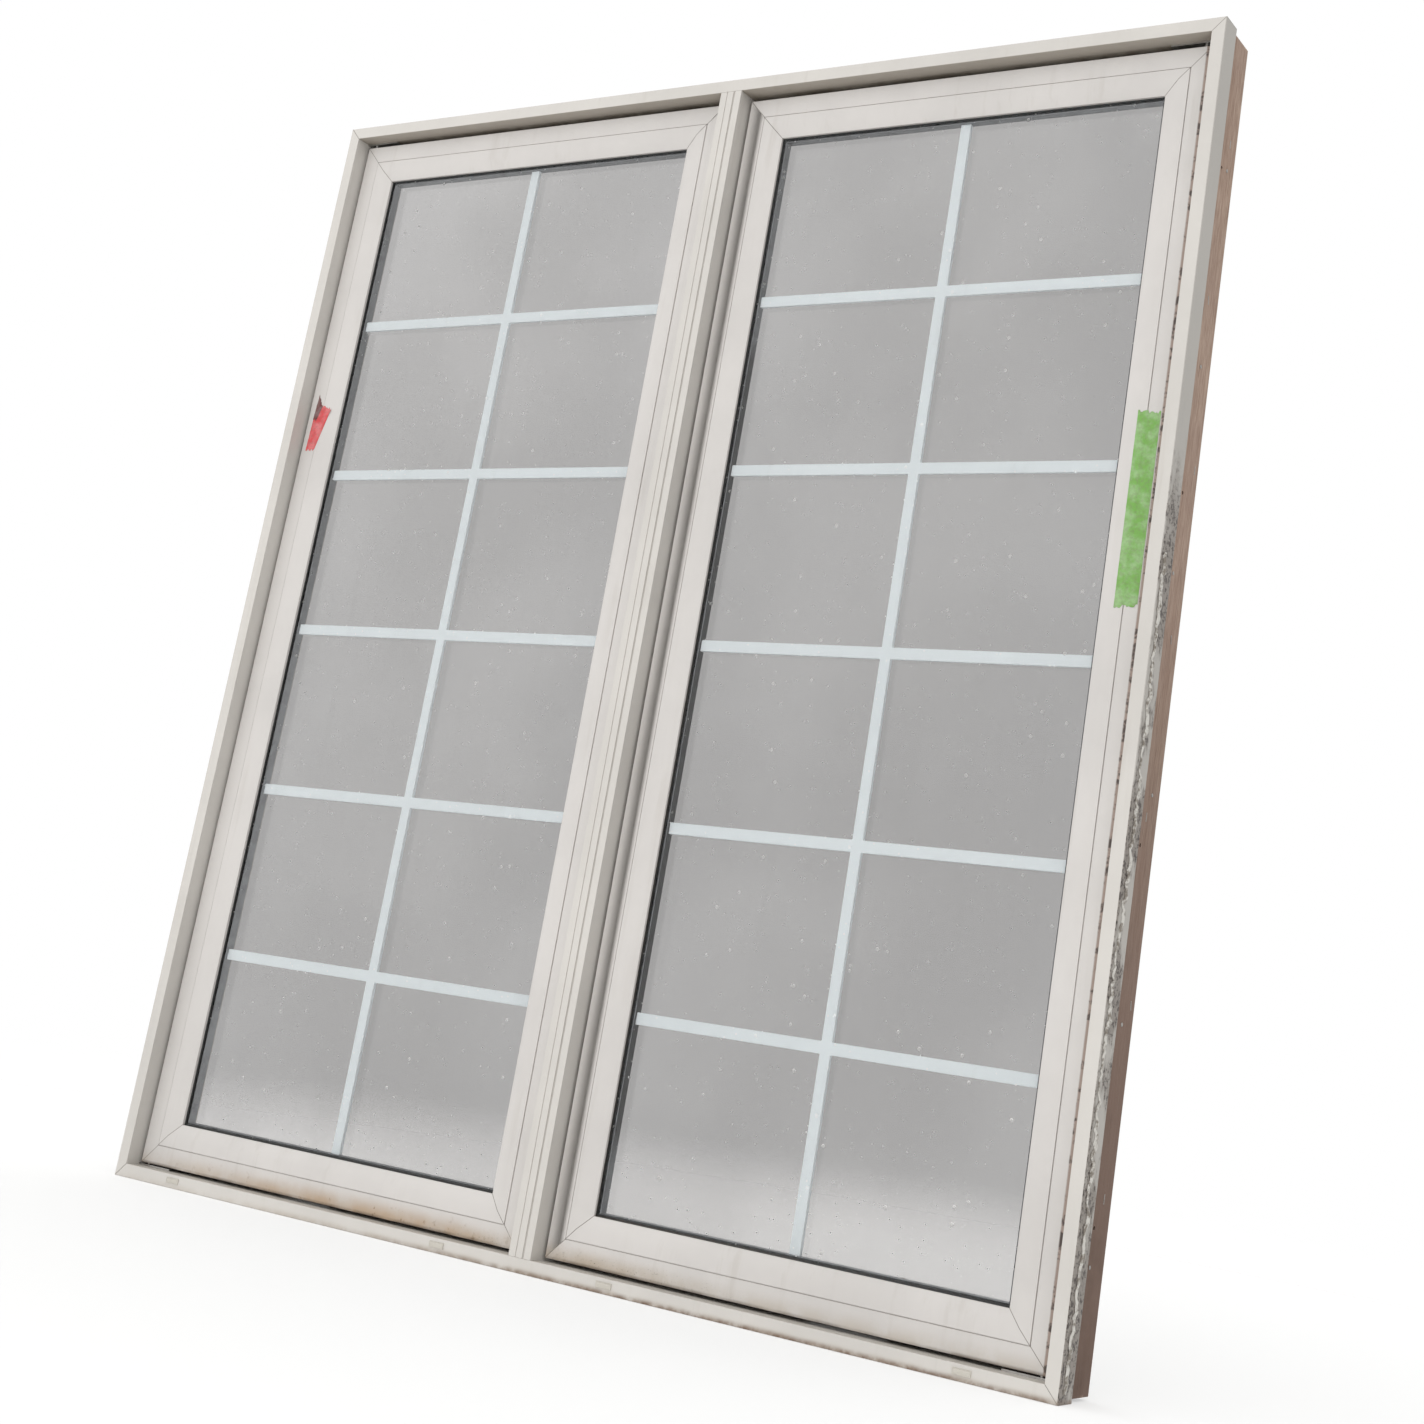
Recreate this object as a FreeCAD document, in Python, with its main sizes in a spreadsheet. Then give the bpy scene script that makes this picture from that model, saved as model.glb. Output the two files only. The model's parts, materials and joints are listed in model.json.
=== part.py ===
import FreeCAD, Part
import os
import re

# Twin casement window: a mitred vinyl frame with a centre mullion, two outward-opening sashes
# with sealed glass units and flat grilles between the panes, wood jamb boards round the back.
# Millimetres, +X to the right seen from outside, +Y towards the room, +Z up.
# The origin is the middle of the sill flange's underside. Depths are counted from the
# outside face of the frame, and reaches inwards from an outer edge.

SIZES = {
    # frame
    "window_width": 1651,
    "window_height": 1803,
    "rim_face": 20,
    "flange_depth": 38,
    "wall_line": 12,
    "pocket_depth": 66,
    "frame_depth": 82,
    "stop_reach": 56,
    "mullion_face": 39,
    "mullion_groove_at": 24,
    "groove_width": 1.2,
    "groove_depth": 1.2,
    # wood boards behind the flange
    "wood_setback": 4,
    "wood_reach": 24,
    "wood_end": 94,
    # gaps between sash and frame
    "side_gap": 6,
    "head_gap": 9,
    "sill_gap": 5,
    # sash section
    "sash_face": 24,
    "lip_back": 35,
    "lip_reach": 20,
    "sash_back": 62,
    "line_at": 29,
    "band_face": 23.2,
    "band_end": 46,
    "sight_reach": 66,
    "sight_face": 30,
    "leg_back": 34,
    "rebate_reach": 50,
    # sealed glass unit
    "glass_edge": 52,
    "gasket_thick": 1,
    "gasket_start": 54,
    "gasket_show": 2.6,
    "pane_thick": 3,
    "cavity": 14,
    "spacer_start": 60,
    "spacer_end": 71,
    "bead_back": 60,
    "bar_width": 17,
    "bar_thick": 6,
    "grid_columns": 2,
    "grid_rows": 6,
    # seal on the frame stop
    "seal_width": 10,
    "soft_gap": 0.3,
    # corner hinge
    "pin_inset": 12,
    "pin_depth": 30,
    "pin_radius": 2.5,
    "running_gap": 0.05,
    "bush_radius": 4,
    "bush_length": 14,
    "plate_thick": 2.5,
    "plate_long": 70,
    "plate_wide": 26,
    # operator arm and track
    "arm_length": 200,
    "arm_width": 9,
    "arm_thick": 4,
    "arm_floor": 31,
    "pivot_depth": 74,
    "pivot_radius": 4,
    "gear_radius": 16,
    "roller_radius": 3,
    "roller_floor": 37,
    "roller_height": 6,
    "track_angle": 4,
    "track_start": 137,
    "track_end": 400,
    "track_wall": 1,
    "track_floor": 36.5,
    "slot_floor": 26,
    "slot_top": 37.5,
    "slot_tail": 24,
    "slot_long": 165,
    # operator housing, cover and crank
    "housing_half": 34,
    "housing_floor": 27,
    "housing_back": 104,
    "housing_shoulder": 47,
    "housing_top": 56,
    "tongue_half": 12,
    "tongue_start": 64,
    "cover_half": 48,
    "cover_gap": 0.5,
    "cover_wall": 2,
    "spindle_radius": 5,
    "spindle_depth": 90,
    "spindle_height": 41,
    "spindle_long": 36,
    "hub_radius": 9,
    "hub_start": 24,
    "hub_long": 16,
    "handle_reach": 60,
    "handle_width": 11,
    "handle_thick": 6,
    "handle_start": 30,
    "knob_radius": 8,
    "knob_long": 24,
    "knob_pin": 2.5,
    # lock
    "lock_offset": 27,
    "lock_height": 620,
    "case_width": 24,
    "case_long": 150,
    "case_depth": 14,
    "pocket_width": 13,
    "pocket_long": 52,
    "lever_pivot": 10,
    "lever_hub": 7,
    "lever_pin": 3,
    "lever_width": 12,
    "lever_thick": 6,
    "lever_long": 95,
    "lever_angle": 70,
    "bar_gap": 0.3,
    "tie_thick": 3,
    "tie_wide": 14,
    "tie_depth": 41,
    "tie_over": 60,
    "stud_radius": 4,
    "stud_long": 17,
    "lock_stroke": 22,
    "keeper_low": 480,
    "keeper_high": 1320,
    "keeper_tall": 30,
    "keeper_plate": 2,
    "keeper_hook": 12,
    "keeper_wall": 4,
    "keeper_depth": 53,
    # mounting screw holes through both jambs
    "screw_radius": 2.6,
    "screw_depth": 52,
    "screw_low": 200,
    "screw_pitch": 467,
    # drain covers on the sill face
    "weep_width": 26,
    "weep_height": 8,
    "weep_thick": 1.5,
    "weep_centre": 11,
    "weep_inset": 130,
}

doc = FreeCAD.newDocument("casement_window")
sheet = doc.addObject("Spreadsheet::Sheet", "sizes")
nodes = []


def fill_sheet():
    """Write every driving size into the sheet under its own alias."""
    for row, (alias, value) in enumerate(SIZES.items(), start=1):
        sheet.set(f"A{row}", alias)
        sheet.set(f"B{row}", str(value))
        sheet.setAlias(f"B{row}", alias)
    doc.recompute()


ALIAS_PATTERN = re.compile(r"\b(" + "|".join(sorted(SIZES, key=len, reverse=True)) + r")\b")


def bind(item, prop, formula):
    """Bind one property to a formula written with the sheet's aliases."""
    item.setExpression(prop, ALIAS_PATTERN.sub(r"sizes.\1", str(formula)))


def place(item, across, depth, up):
    """Bind an object's position: across is X, depth is counted from the outside face."""
    bind(item, "Placement.Base.x", across)
    bind(item, "Placement.Base.y", f"{depth} - flange_depth / 2")
    bind(item, "Placement.Base.z", up)


def box(name, across, depth, up, width, thick, height):
    """A box from its low corner and its three sizes."""
    item = doc.addObject("Part::Box", name)
    bind(item, "Length", width)
    bind(item, "Width", thick)
    bind(item, "Height", height)
    place(item, across, depth, up)
    return item


def turned_box(name, across, depth, up, sizes, axis, angle):
    """A box turned about its low corner."""
    item = box(name, across, depth, up, *sizes)
    item.Placement = FreeCAD.Placement(FreeCAD.Vector(), FreeCAD.Rotation(axis, 1))
    bind(item, "Placement.Rotation.Angle", angle)
    return item


def post(name, across, depth, up, radius, length, direction=(0, 0, 1)):
    """A cylinder that starts at a point and runs along a direction."""
    item = doc.addObject("Part::Cylinder", name)
    turn = FreeCAD.Rotation(FreeCAD.Vector(0, 0, 1), FreeCAD.Vector(*direction))
    item.Placement = FreeCAD.Placement(FreeCAD.Vector(), turn)
    bind(item, "Radius", radius)
    bind(item, "Height", length)
    place(item, across, depth, up)
    return item


def fuse(name, parts):
    """Join solids into one."""
    item = doc.addObject("Part::MultiFuse", name)
    item.Shapes = parts
    item.Refine = True
    return item


def group(name, parts):
    """Keep separate solids together in one object."""
    item = doc.addObject("Part::Compound", name)
    item.Links = parts
    return item


def cut(name, base, tools):
    """Take tools away from a base."""
    item = doc.addObject("Part::Cut", name)
    item.Base = base
    item.Tool = tools[0] if len(tools) == 1 else fuse(name + "_tools", tools)
    item.Refine = True
    return item


def mirror(name, source):
    """The same piece on the other side of the window's middle."""
    item = doc.addObject("Part::Mirroring", name)
    item.Source = source
    item.Base = FreeCAD.Vector(0, 0, 0)
    item.Normal = FreeCAD.Vector(1, 0, 0)
    return item


def node(label, item):
    """Name a finished piece."""
    item.Label = label
    nodes.append((label, item))


def pair(label, item):
    """Name a left piece and add its mirror image on the right."""
    node("left_" + label, item)
    node("right_" + label, mirror("right_" + label + "_copy", item))


# ---------------------------------------------------------------- places worked out from the sizes
LEFT = "(-window_width / 2)"
RIGHT = "(window_width / 2)"
FRAME_BOX = (LEFT, RIGHT, "0", "window_height")
BAY_BOX = (f"({LEFT} + rim_face)", "(-mullion_face / 2)", "rim_face", "(window_height - rim_face)")
SASH_LEFT = f"({LEFT} + rim_face + side_gap)"
SASH_RIGHT = "(-mullion_face / 2 - side_gap)"
SASH_FLOOR = "(rim_face + sill_gap)"
SASH_HEAD = "(window_height - rim_face - head_gap)"
SASH_BOX = (SASH_LEFT, SASH_RIGHT, SASH_FLOOR, SASH_HEAD)
HINGE_ACROSS = f"({SASH_LEFT} + pin_inset)"
PIVOT_BACK = "(pivot_depth - pin_depth)"
PIVOT_ACROSS = f"({HINGE_ACROSS} + sqrt(arm_length ^ 2 - {PIVOT_BACK} ^ 2))"
TRACK_TURN = "(track_angle * 1 deg)"
ARM_TURN = f"(2 * {TRACK_TURN} - asin({PIVOT_BACK} / arm_length))"
GLASS_FRONT = "(leg_back + gasket_thick)"
CAVITY_FRONT = f"({GLASS_FRONT} + pane_thick)"
CAVITY_BACK = f"({CAVITY_FRONT} + cavity)"
GLASS_BACK = f"({CAVITY_BACK} + pane_thick)"
DIAGONAL = "sqrt(0.5)"
MULLION_SIDE = "(-mullion_face / 2)"

# each side's local axes: along the member, inwards, towards the room
SIDE_AXES = {
    "bottom": ((-1, 0, 0), (0, 0, 1)),
    "top": ((1, 0, 0), (0, 0, -1)),
    "left": ((0, 0, 1), (1, 0, 0)),
    "right": ((0, 0, -1), (-1, 0, 0)),
}


def mitred_strip(name, side, outline, strip):
    """One strip of a rectangular ring's side, cut at 45 degrees at both ends.

    A strip is (reach, reach, (front, back) at the first reach, (front, back) at the second).
    """
    start, end, first, second = strip
    low_x, high_x, low_z, high_z = outline
    upright = side in ("left", "right")
    half = f"({high_z} - {low_z}) / 2" if upright else f"({high_x} - {low_x}) / 2"
    item = doc.addObject("Part::Wedge", name)
    along, inward = (FreeCAD.Vector(*axis) for axis in SIDE_AXES[side])
    roomward = FreeCAD.Vector(0, 1, 0)
    item.Placement = FreeCAD.Placement(FreeCAD.Vector(), FreeCAD.Rotation(along, inward, roomward, "ZXY"))
    bind(item, "Ymin", start)
    bind(item, "Ymax", end)
    bind(item, "Xmin", f"-({half} - ({start}))")
    bind(item, "Xmax", f"{half} - ({start})")
    bind(item, "X2min", f"-({half} - ({end}))")
    bind(item, "X2max", f"{half} - ({end})")
    bind(item, "Zmin", first[0])
    bind(item, "Zmax", first[1])
    bind(item, "Z2min", second[0])
    bind(item, "Z2max", second[1])
    middle = {"left": low_x, "right": high_x}.get(side, f"({low_x} + {high_x}) / 2")
    level = {"bottom": low_z, "top": high_z}.get(side, f"({low_z} + {high_z}) / 2")
    place(item, middle, "0", level)
    return item


def flat(start, end, front, back):
    """A strip with a rectangular section."""
    return (start, end, (front, back), (front, back))


def mitred_member(name, side, outline, strips):
    """One side of a ring, its strips fused."""
    parts = [mitred_strip(f"{name}_{i}", side, outline, strip) for i, strip in enumerate(strips)]
    return parts[0] if len(parts) == 1 else fuse(name + "_body", parts)


def mitred_ring(name, outline, strip):
    """Four mitred strips kept as separate solids."""
    return group(name, [mitred_strip(f"{name}_{side}", side, outline, strip) for side in SIDE_AXES])


# ---------------------------------------------------------------- frame
FRAME_STRIPS = [
    flat("0", "wall_line", "0", "flange_depth"),
    flat("wall_line", "rim_face", "0", "frame_depth"),
    flat("rim_face", "stop_reach", "pocket_depth", "frame_depth"),
]
WOOD_STRIPS = [
    flat("wood_setback", "wall_line", "flange_depth", "wood_end"),
    flat("wall_line", "wood_reach", "frame_depth", "wood_end"),
]


def screw_holes(name, side):
    """The four screw holes through one jamb and its wood board."""
    start = LEFT if side == "left" else f"({RIGHT} - rim_face - 1)"
    drills = []
    for i in range(4):
        height = f"screw_low + {i} * screw_pitch"
        drills.append(post(f"{name}_drill_{i}", start, "screw_depth", height, "screw_radius",
                           "rim_face + 1", (1, 0, 0)))
    return drills


def arm_slot():
    """The way through the sill stop for the operator's tongue and arm."""
    left = box("arm_slot_left", f"{PIVOT_ACROSS} - slot_tail", "pocket_depth", "slot_floor",
               "slot_tail + slot_long", "frame_depth - pocket_depth", "slot_top - slot_floor")
    return [left, mirror("arm_slot_right", left)]


def build_frame():
    node("frame_head", mitred_member("head", "top", FRAME_BOX, FRAME_STRIPS))
    sill = mitred_member("sill", "bottom", FRAME_BOX, FRAME_STRIPS)
    node("frame_sill", cut("sill_slotted", sill, arm_slot()))
    for side in ("left", "right"):
        jamb = mitred_member(f"jamb_{side}", side, FRAME_BOX, FRAME_STRIPS)
        node(f"frame_jamb_{side}", cut(f"jamb_{side}_drilled", jamb, screw_holes(f"jamb_{side}", side)))


def build_wood():
    node("wood_head", mitred_member("wood_top", "top", FRAME_BOX, WOOD_STRIPS))
    node("wood_sill", mitred_member("wood_bottom", "bottom", FRAME_BOX, WOOD_STRIPS))
    for side in ("left", "right"):
        board = mitred_member(f"wood_{side}", side, FRAME_BOX, WOOD_STRIPS)
        node(f"wood_jamb_{side}", cut(f"wood_{side}_drilled", board, screw_holes(f"wood_{side}", side)))


def build_mullion():
    post_height = "window_height - 2 * rim_face"
    face = box("mullion_face_bar", MULLION_SIDE, "0", "rim_face", "mullion_face", "pocket_depth", post_height)
    half_back = "(mullion_face / 2 + stop_reach - rim_face)"
    back = box("mullion_back_bar", f"-{half_back}", "pocket_depth", "stop_reach",
               f"2 * {half_back}", "frame_depth - pocket_depth", "window_height - 2 * stop_reach")
    groove = box("mullion_groove", f"{MULLION_SIDE} + mullion_groove_at", "0", "rim_face",
                 "groove_width", "groove_depth", post_height)
    node("mullion", cut("mullion_grooved", fuse("mullion_body", [face, back]), [groove]))


def build_seals():
    reach = "(stop_reach - rim_face)"
    strip = flat(f"{reach} - seal_width", reach, "sash_back + soft_gap", "pocket_depth")
    pair("weatherstrip", mitred_ring("seal", BAY_BOX, strip))


def build_weep_covers():
    covers = []
    for i, across in enumerate((f"{LEFT} + weep_inset", "-mullion_face / 2 - weep_inset",
                                "mullion_face / 2 + weep_inset", f"{RIGHT} - weep_inset")):
        covers.append(box(f"weep_{i}", f"{across} - weep_width / 2", "-weep_thick",
                          "weep_centre - weep_height / 2", "weep_width", "weep_thick", "weep_height"))
    node("weep_covers", group("weeps", covers))


# ---------------------------------------------------------------- sash
BEVEL_AT_REBATE = ("(band_face + (sight_face - band_face)"
                   " * (rebate_reach - band_end) / (sight_reach - band_end))")
SASH_STRIPS = [
    flat("0", "lip_reach", "sash_face", "lip_back"),
    flat("lip_reach", "line_at", "sash_face", "sash_back"),
    flat("line_at", "line_at + groove_width", "sash_face + groove_depth", "sash_back"),
    flat("line_at + groove_width", "band_end", "band_face", "sash_back"),
    ("band_end", "rebate_reach", ("band_face", "sash_back"), (BEVEL_AT_REBATE, "sash_back")),
    ("rebate_reach", "sight_reach", (BEVEL_AT_REBATE, "leg_back"), ("sight_face", "leg_back")),
]


def bush_hole(name, up):
    """The socket for a hinge bush, drilled into the sash corner."""
    return post(name, HINGE_ACROSS, "pin_depth", up, "bush_radius + running_gap", "bush_length + running_gap")


def build_sash_members():
    low = bush_hole("bush_hole_low", SASH_FLOOR)
    high = bush_hole("bush_hole_high", f"{SASH_HEAD} - bush_length - running_gap")
    top = mitred_member("sash_top", "top", SASH_BOX, SASH_STRIPS)
    bottom = mitred_member("sash_bottom", "bottom", SASH_BOX, SASH_STRIPS)
    hinge_side = mitred_member("sash_left", "left", SASH_BOX, SASH_STRIPS)
    lip = mitred_strip("sash_right_lip", "right", SASH_BOX, SASH_STRIPS[0])
    leg = mitred_member("sash_right", "right", SASH_BOX, SASH_STRIPS[1:])
    pair("rail_top", cut("rail_top_cut", top, [high]))
    pair("rail_bottom", cut("rail_bottom_cut", bottom, [low]))
    pair("stile_hinge", cut("stile_hinge_cut", hinge_side, [low, high]))
    # the lip and the leg are two solids, so simulation keeps the space for the tie bar open
    pair("stile_lock", group("stile_lock_strips", [lip, leg]))


def pane(name, front):
    """One sheet of glass, standing in the sash's rebate."""
    return box(name, f"{SASH_LEFT} + glass_edge", front, f"{SASH_FLOOR} + glass_edge",
               f"{SASH_RIGHT} - {SASH_LEFT} - 2 * glass_edge", "pane_thick",
               f"{SASH_HEAD} - {SASH_FLOOR} - 2 * glass_edge")


def build_grille():
    """Flat bars between the panes, from spacer to spacer."""
    clear_width = f"({SASH_RIGHT} - {SASH_LEFT} - 2 * spacer_end)"
    clear_height = f"({SASH_HEAD} - {SASH_FLOOR} - 2 * spacer_end)"
    open_width = f"({SASH_RIGHT} - {SASH_LEFT} - 2 * sight_reach)"
    open_height = f"({SASH_HEAD} - {SASH_FLOOR} - 2 * sight_reach)"
    front = f"{CAVITY_FRONT} + (cavity - bar_thick) / 2"
    bars = []
    for column in range(1, SIZES["grid_columns"]):
        centre = f"{SASH_LEFT} + sight_reach + {open_width} * {column} / grid_columns"
        bars.append(box(f"grille_upright_{column}", f"{centre} - bar_width / 2", front,
                        f"{SASH_FLOOR} + spacer_end", "bar_width", "bar_thick", clear_height))
    for row in range(1, SIZES["grid_rows"]):
        centre = f"{SASH_FLOOR} + sight_reach + {open_height} * {row} / grid_rows"
        bars.append(box(f"grille_crossbar_{row}", f"{SASH_LEFT} + spacer_end", front,
                        f"{centre} - bar_width / 2", clear_width, "bar_thick", "bar_width"))
    pair("grille", fuse("grille_bars", bars))


def build_glazing():
    pair("outer_pane", pane("outer_sheet", GLASS_FRONT))
    pair("inner_pane", pane("inner_sheet", CAVITY_BACK))
    pair("spacer", mitred_ring("spacer_bars", SASH_BOX,
                               flat("spacer_start", "spacer_end", CAVITY_FRONT, CAVITY_BACK)))
    pair("gasket", mitred_ring("gasket_strips", SASH_BOX,
                               flat("gasket_start", "sight_reach + gasket_show", "leg_back", GLASS_FRONT)))
    bead = ("rebate_reach", "sight_reach", (GLASS_BACK, "sash_back"), (GLASS_BACK, "bead_back"))
    pair("glazing_beads", mitred_ring("bead_strips", SASH_BOX, bead))
    build_grille()


# ---------------------------------------------------------------- corner hinges
def hinge_plate(name, low, pin_floor, pin_length):
    """A plate in the frame corner with its upright pin."""
    plate = box(name + "_plate", f"{LEFT} + rim_face", "pin_depth - 5", low,
                "plate_long", "plate_wide", "plate_thick")
    pin = post(name + "_pin", HINGE_ACROSS, "pin_depth", pin_floor, "pin_radius", pin_length)
    return fuse(name, [plate, pin])


def hinge_bush(name, up):
    """A bush in the sash corner that turns on the pin."""
    body = post(name + "_body", HINGE_ACROSS, "pin_depth", up, "bush_radius", "bush_length")
    bore = post(name + "_bore", HINGE_ACROSS, "pin_depth", up, "pin_radius + running_gap", "bush_length")
    return cut(name, body, [bore])


def build_hinges():
    pin_end = "(bush_length - 1)"
    low = hinge_plate("hinge_low", "rim_face", "rim_face", f"sill_gap + {pin_end}")
    top_face = "(window_height - rim_face)"
    high = hinge_plate("hinge_high", f"{top_face} - plate_thick",
                       f"{SASH_HEAD} - {pin_end}", f"head_gap + {pin_end}")
    pair("hinge_plates", group("hinge_plates_left", [low, high]))
    bushes = [hinge_bush("bush_low", SASH_FLOOR), hinge_bush("bush_high", f"{SASH_HEAD} - bush_length")]
    pair("hinge_bushes", group("hinge_bushes_left", bushes))


# ---------------------------------------------------------------- operator
TRACK_HALF = "(roller_radius + soft_gap + track_wall)"
TRACK_HEAD = f"({SASH_FLOOR} + lip_reach)"


def track_piece(name, offset, width, low, height):
    """A length of the sash track, on a line through the hinge axis."""
    across = f"{HINGE_ACROSS} + track_start * cos({TRACK_TURN}) - ({offset}) * sin({TRACK_TURN})"
    depth = f"pin_depth + track_start * sin({TRACK_TURN}) + ({offset}) * cos({TRACK_TURN})"
    sizes = ("track_end - track_start", width, height)
    return turned_box(name, across, depth, low, sizes, FreeCAD.Vector(0, 0, 1), TRACK_TURN)


def build_track():
    top_low = f"{TRACK_HEAD} - 1.5"
    wall_height = f"{TRACK_HEAD} - track_floor"
    top = track_piece("track_top", f"-{TRACK_HALF}", f"2 * {TRACK_HALF}", top_low, "1.5")
    near = track_piece("track_near", f"-{TRACK_HALF}", "track_wall", "track_floor", wall_height)
    far = track_piece("track_far", f"{TRACK_HALF} - track_wall", "track_wall", "track_floor", wall_height)
    pair("track", fuse("track_channel", [top, near, far]))


def build_arm():
    """The operator arm: a gear disc at the pivot, a bar and a roller in the track."""
    disc = post("arm_disc", PIVOT_ACROSS, "pivot_depth", "arm_floor", "gear_radius", "arm_thick")
    sizes = ("arm_length", "arm_width", "arm_thick")
    across = f"{PIVOT_ACROSS} + arm_width / 2 * sin({ARM_TURN})"
    depth = f"pivot_depth - arm_width / 2 * cos({ARM_TURN})"
    bar = turned_box("arm_bar", across, depth, "arm_floor", sizes, FreeCAD.Vector(0, 0, 1), ARM_TURN)
    tip_across = f"{PIVOT_ACROSS} + arm_length * cos({ARM_TURN})"
    tip_depth = f"pivot_depth + arm_length * sin({ARM_TURN})"
    tip = post("arm_tip", tip_across, tip_depth, "arm_floor", "arm_width / 2", "arm_thick")
    stud = post("arm_stud", tip_across, tip_depth, "arm_floor", "roller_radius - 1",
                "roller_floor - arm_floor")
    roller = post("arm_roller", tip_across, tip_depth, "roller_floor", "roller_radius", "roller_height")
    bore = post("arm_bore", PIVOT_ACROSS, "pivot_depth", "arm_floor", "pivot_radius + running_gap",
                "arm_thick")
    body = fuse("arm_body", [disc, bar, tip, stud, roller])
    pair("operator_arm", cut("arm_bored", body, [bore]))


def sloped_block(name, half, low, shoulder, top, back):
    """A block against the sill whose upper corner slopes at 45 degrees."""
    item = doc.addObject("Part::Wedge", name)
    along, inward = (FreeCAD.Vector(*axis) for axis in SIDE_AXES["bottom"])
    turn = FreeCAD.Rotation(along, inward, FreeCAD.Vector(0, 1, 0), "ZXY")
    item.Placement = FreeCAD.Placement(FreeCAD.Vector(), turn)
    for prop, value in (("Xmin", f"-({half})"), ("X2min", f"-({half})"), ("Xmax", half), ("X2max", half)):
        bind(item, prop, value)
    for prop in ("Zmin", "Z2min"):
        bind(item, prop, "frame_depth")
    bind(item, "Ymin", shoulder)
    bind(item, "Ymax", top)
    bind(item, "Zmax", back)
    bind(item, "Z2max", f"({back}) - (({top}) - ({shoulder}))")
    place(item, PIVOT_ACROSS, "0", "0")
    lower = box(name + "_lower", f"{PIVOT_ACROSS} - ({half})", "frame_depth", low, f"2 * ({half})",
                f"({back}) - frame_depth", f"({shoulder}) - ({low})")
    return fuse(name + "_block", [item, lower])


def on_spindle(travel, aside="0"):
    """Depth and height of a point along the spindle axis, moved aside across it."""
    depth = f"(spindle_depth + (({travel}) + ({aside})) * {DIAGONAL})"
    height = f"(spindle_height + (({travel}) - ({aside})) * {DIAGONAL})"
    return depth, height


SPINDLE_AXIS = (0, 1, 1)


def build_operator_base():
    block = sloped_block("housing", "housing_half", "housing_floor", "housing_shoulder",
                         "housing_top", "housing_back")
    tongue = box("tongue", f"{PIVOT_ACROSS} - tongue_half", "tongue_start", "slot_floor",
                 "2 * tongue_half", "frame_depth - tongue_start", "arm_floor - slot_floor - 1.5")
    pin = post("arm_pin", PIVOT_ACROSS, "pivot_depth", "slot_floor", "pivot_radius",
               "arm_floor + arm_thick + 1 - slot_floor")
    room = "(gear_radius + 2)"
    pocket = box("gear_pocket", f"{PIVOT_ACROSS} - {room}", "frame_depth", "arm_floor - 1.5",
                 f"2 * {room}", f"pivot_depth + {room} - frame_depth", "arm_thick + 3")
    depth, height = on_spindle("0")
    bore = post("spindle_bore", PIVOT_ACROSS, depth, height, "spindle_radius + running_gap",
                "spindle_long", SPINDLE_AXIS)
    body = fuse("operator_body", [cut("housing_cut", block, [pocket, bore]), tongue, pin])
    pair("operator_base", body)


def build_operator_cover():
    outer_gap = "(cover_gap + cover_wall)"
    outer = sloped_block("cover_outer", "cover_half", f"housing_floor - {outer_gap}",
                         f"housing_shoulder + {outer_gap}", f"housing_top + {outer_gap}",
                         f"housing_back + {outer_gap}")
    inner = sloped_block("cover_inner", "cover_half - cover_wall", "housing_floor - cover_gap",
                         "housing_shoulder + cover_gap", "housing_top + cover_gap",
                         "housing_back + cover_gap")
    depth, height = on_spindle("0")
    hole = post("cover_hole", PIVOT_ACROSS, depth, height, "spindle_radius + 2", "spindle_long",
                SPINDLE_AXIS)
    pair("operator_cover", cut("cover_shell", outer, [inner, hole]))


def build_crank():
    depth, height = on_spindle("0")
    spindle = post("spindle_rod", PIVOT_ACROSS, depth, height, "spindle_radius", "spindle_long",
                   SPINDLE_AXIS)
    pair("crank_spindle", spindle)

    depth, height = on_spindle("hub_start")
    hub = post("crank_hub", PIVOT_ACROSS, depth, height, "hub_radius", "hub_long", SPINDLE_AXIS)
    socket = post("crank_socket", PIVOT_ACROSS, depth, height, "spindle_radius + running_gap",
                  "spindle_long - hub_start + running_gap", SPINDLE_AXIS)
    depth, height = on_spindle("handle_start", "-handle_width / 2")
    sizes = ("handle_reach", "handle_width", "handle_thick")
    bar = turned_box("crank_bar", PIVOT_ACROSS, depth, height, sizes, FreeCAD.Vector(-1, 0, 0), "45 deg")
    end_across = f"{PIVOT_ACROSS} + handle_reach"
    depth, height = on_spindle("handle_start")
    end = post("crank_end", end_across, depth, height, "handle_width / 2", "handle_thick", SPINDLE_AXIS)
    pin = post("crank_pin", end_across, depth, height, "knob_pin", "handle_thick + knob_long - 4",
               SPINDLE_AXIS)
    pair("crank_handle", cut("crank_cut", fuse("crank_body", [hub, bar, end, pin]), [socket]))

    depth, height = on_spindle("handle_start + handle_thick + soft_gap")
    knob = post("knob_body", end_across, depth, height, "knob_radius", "knob_long", SPINDLE_AXIS)
    bore = post("knob_bore", end_across, depth, height, "knob_pin + running_gap", "knob_long - 3.5",
                SPINDLE_AXIS)
    pair("crank_knob", cut("knob_cut", knob, [bore]))


# ---------------------------------------------------------------- lock
LEVER_DEPTH = "(frame_depth + lever_pivot)"


def build_lock_case():
    low = "(lock_height - case_long / 2)"
    case = box("case_body", "-lock_offset - case_width / 2", "frame_depth", low,
               "case_width", "case_depth", "case_long")
    pocket = box("case_pocket", "-lock_offset - pocket_width / 2", "frame_depth + 2",
                 "lock_height - pocket_long / 2", "pocket_width", "case_depth", "pocket_long")
    bore = post("case_bore", "-lock_offset - case_width / 2", LEVER_DEPTH, "lock_height",
                "lever_pin + running_gap", "case_width", (1, 0, 0))
    pair("lock_case", cut("case_cut", case, [pocket, bore]))


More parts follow.
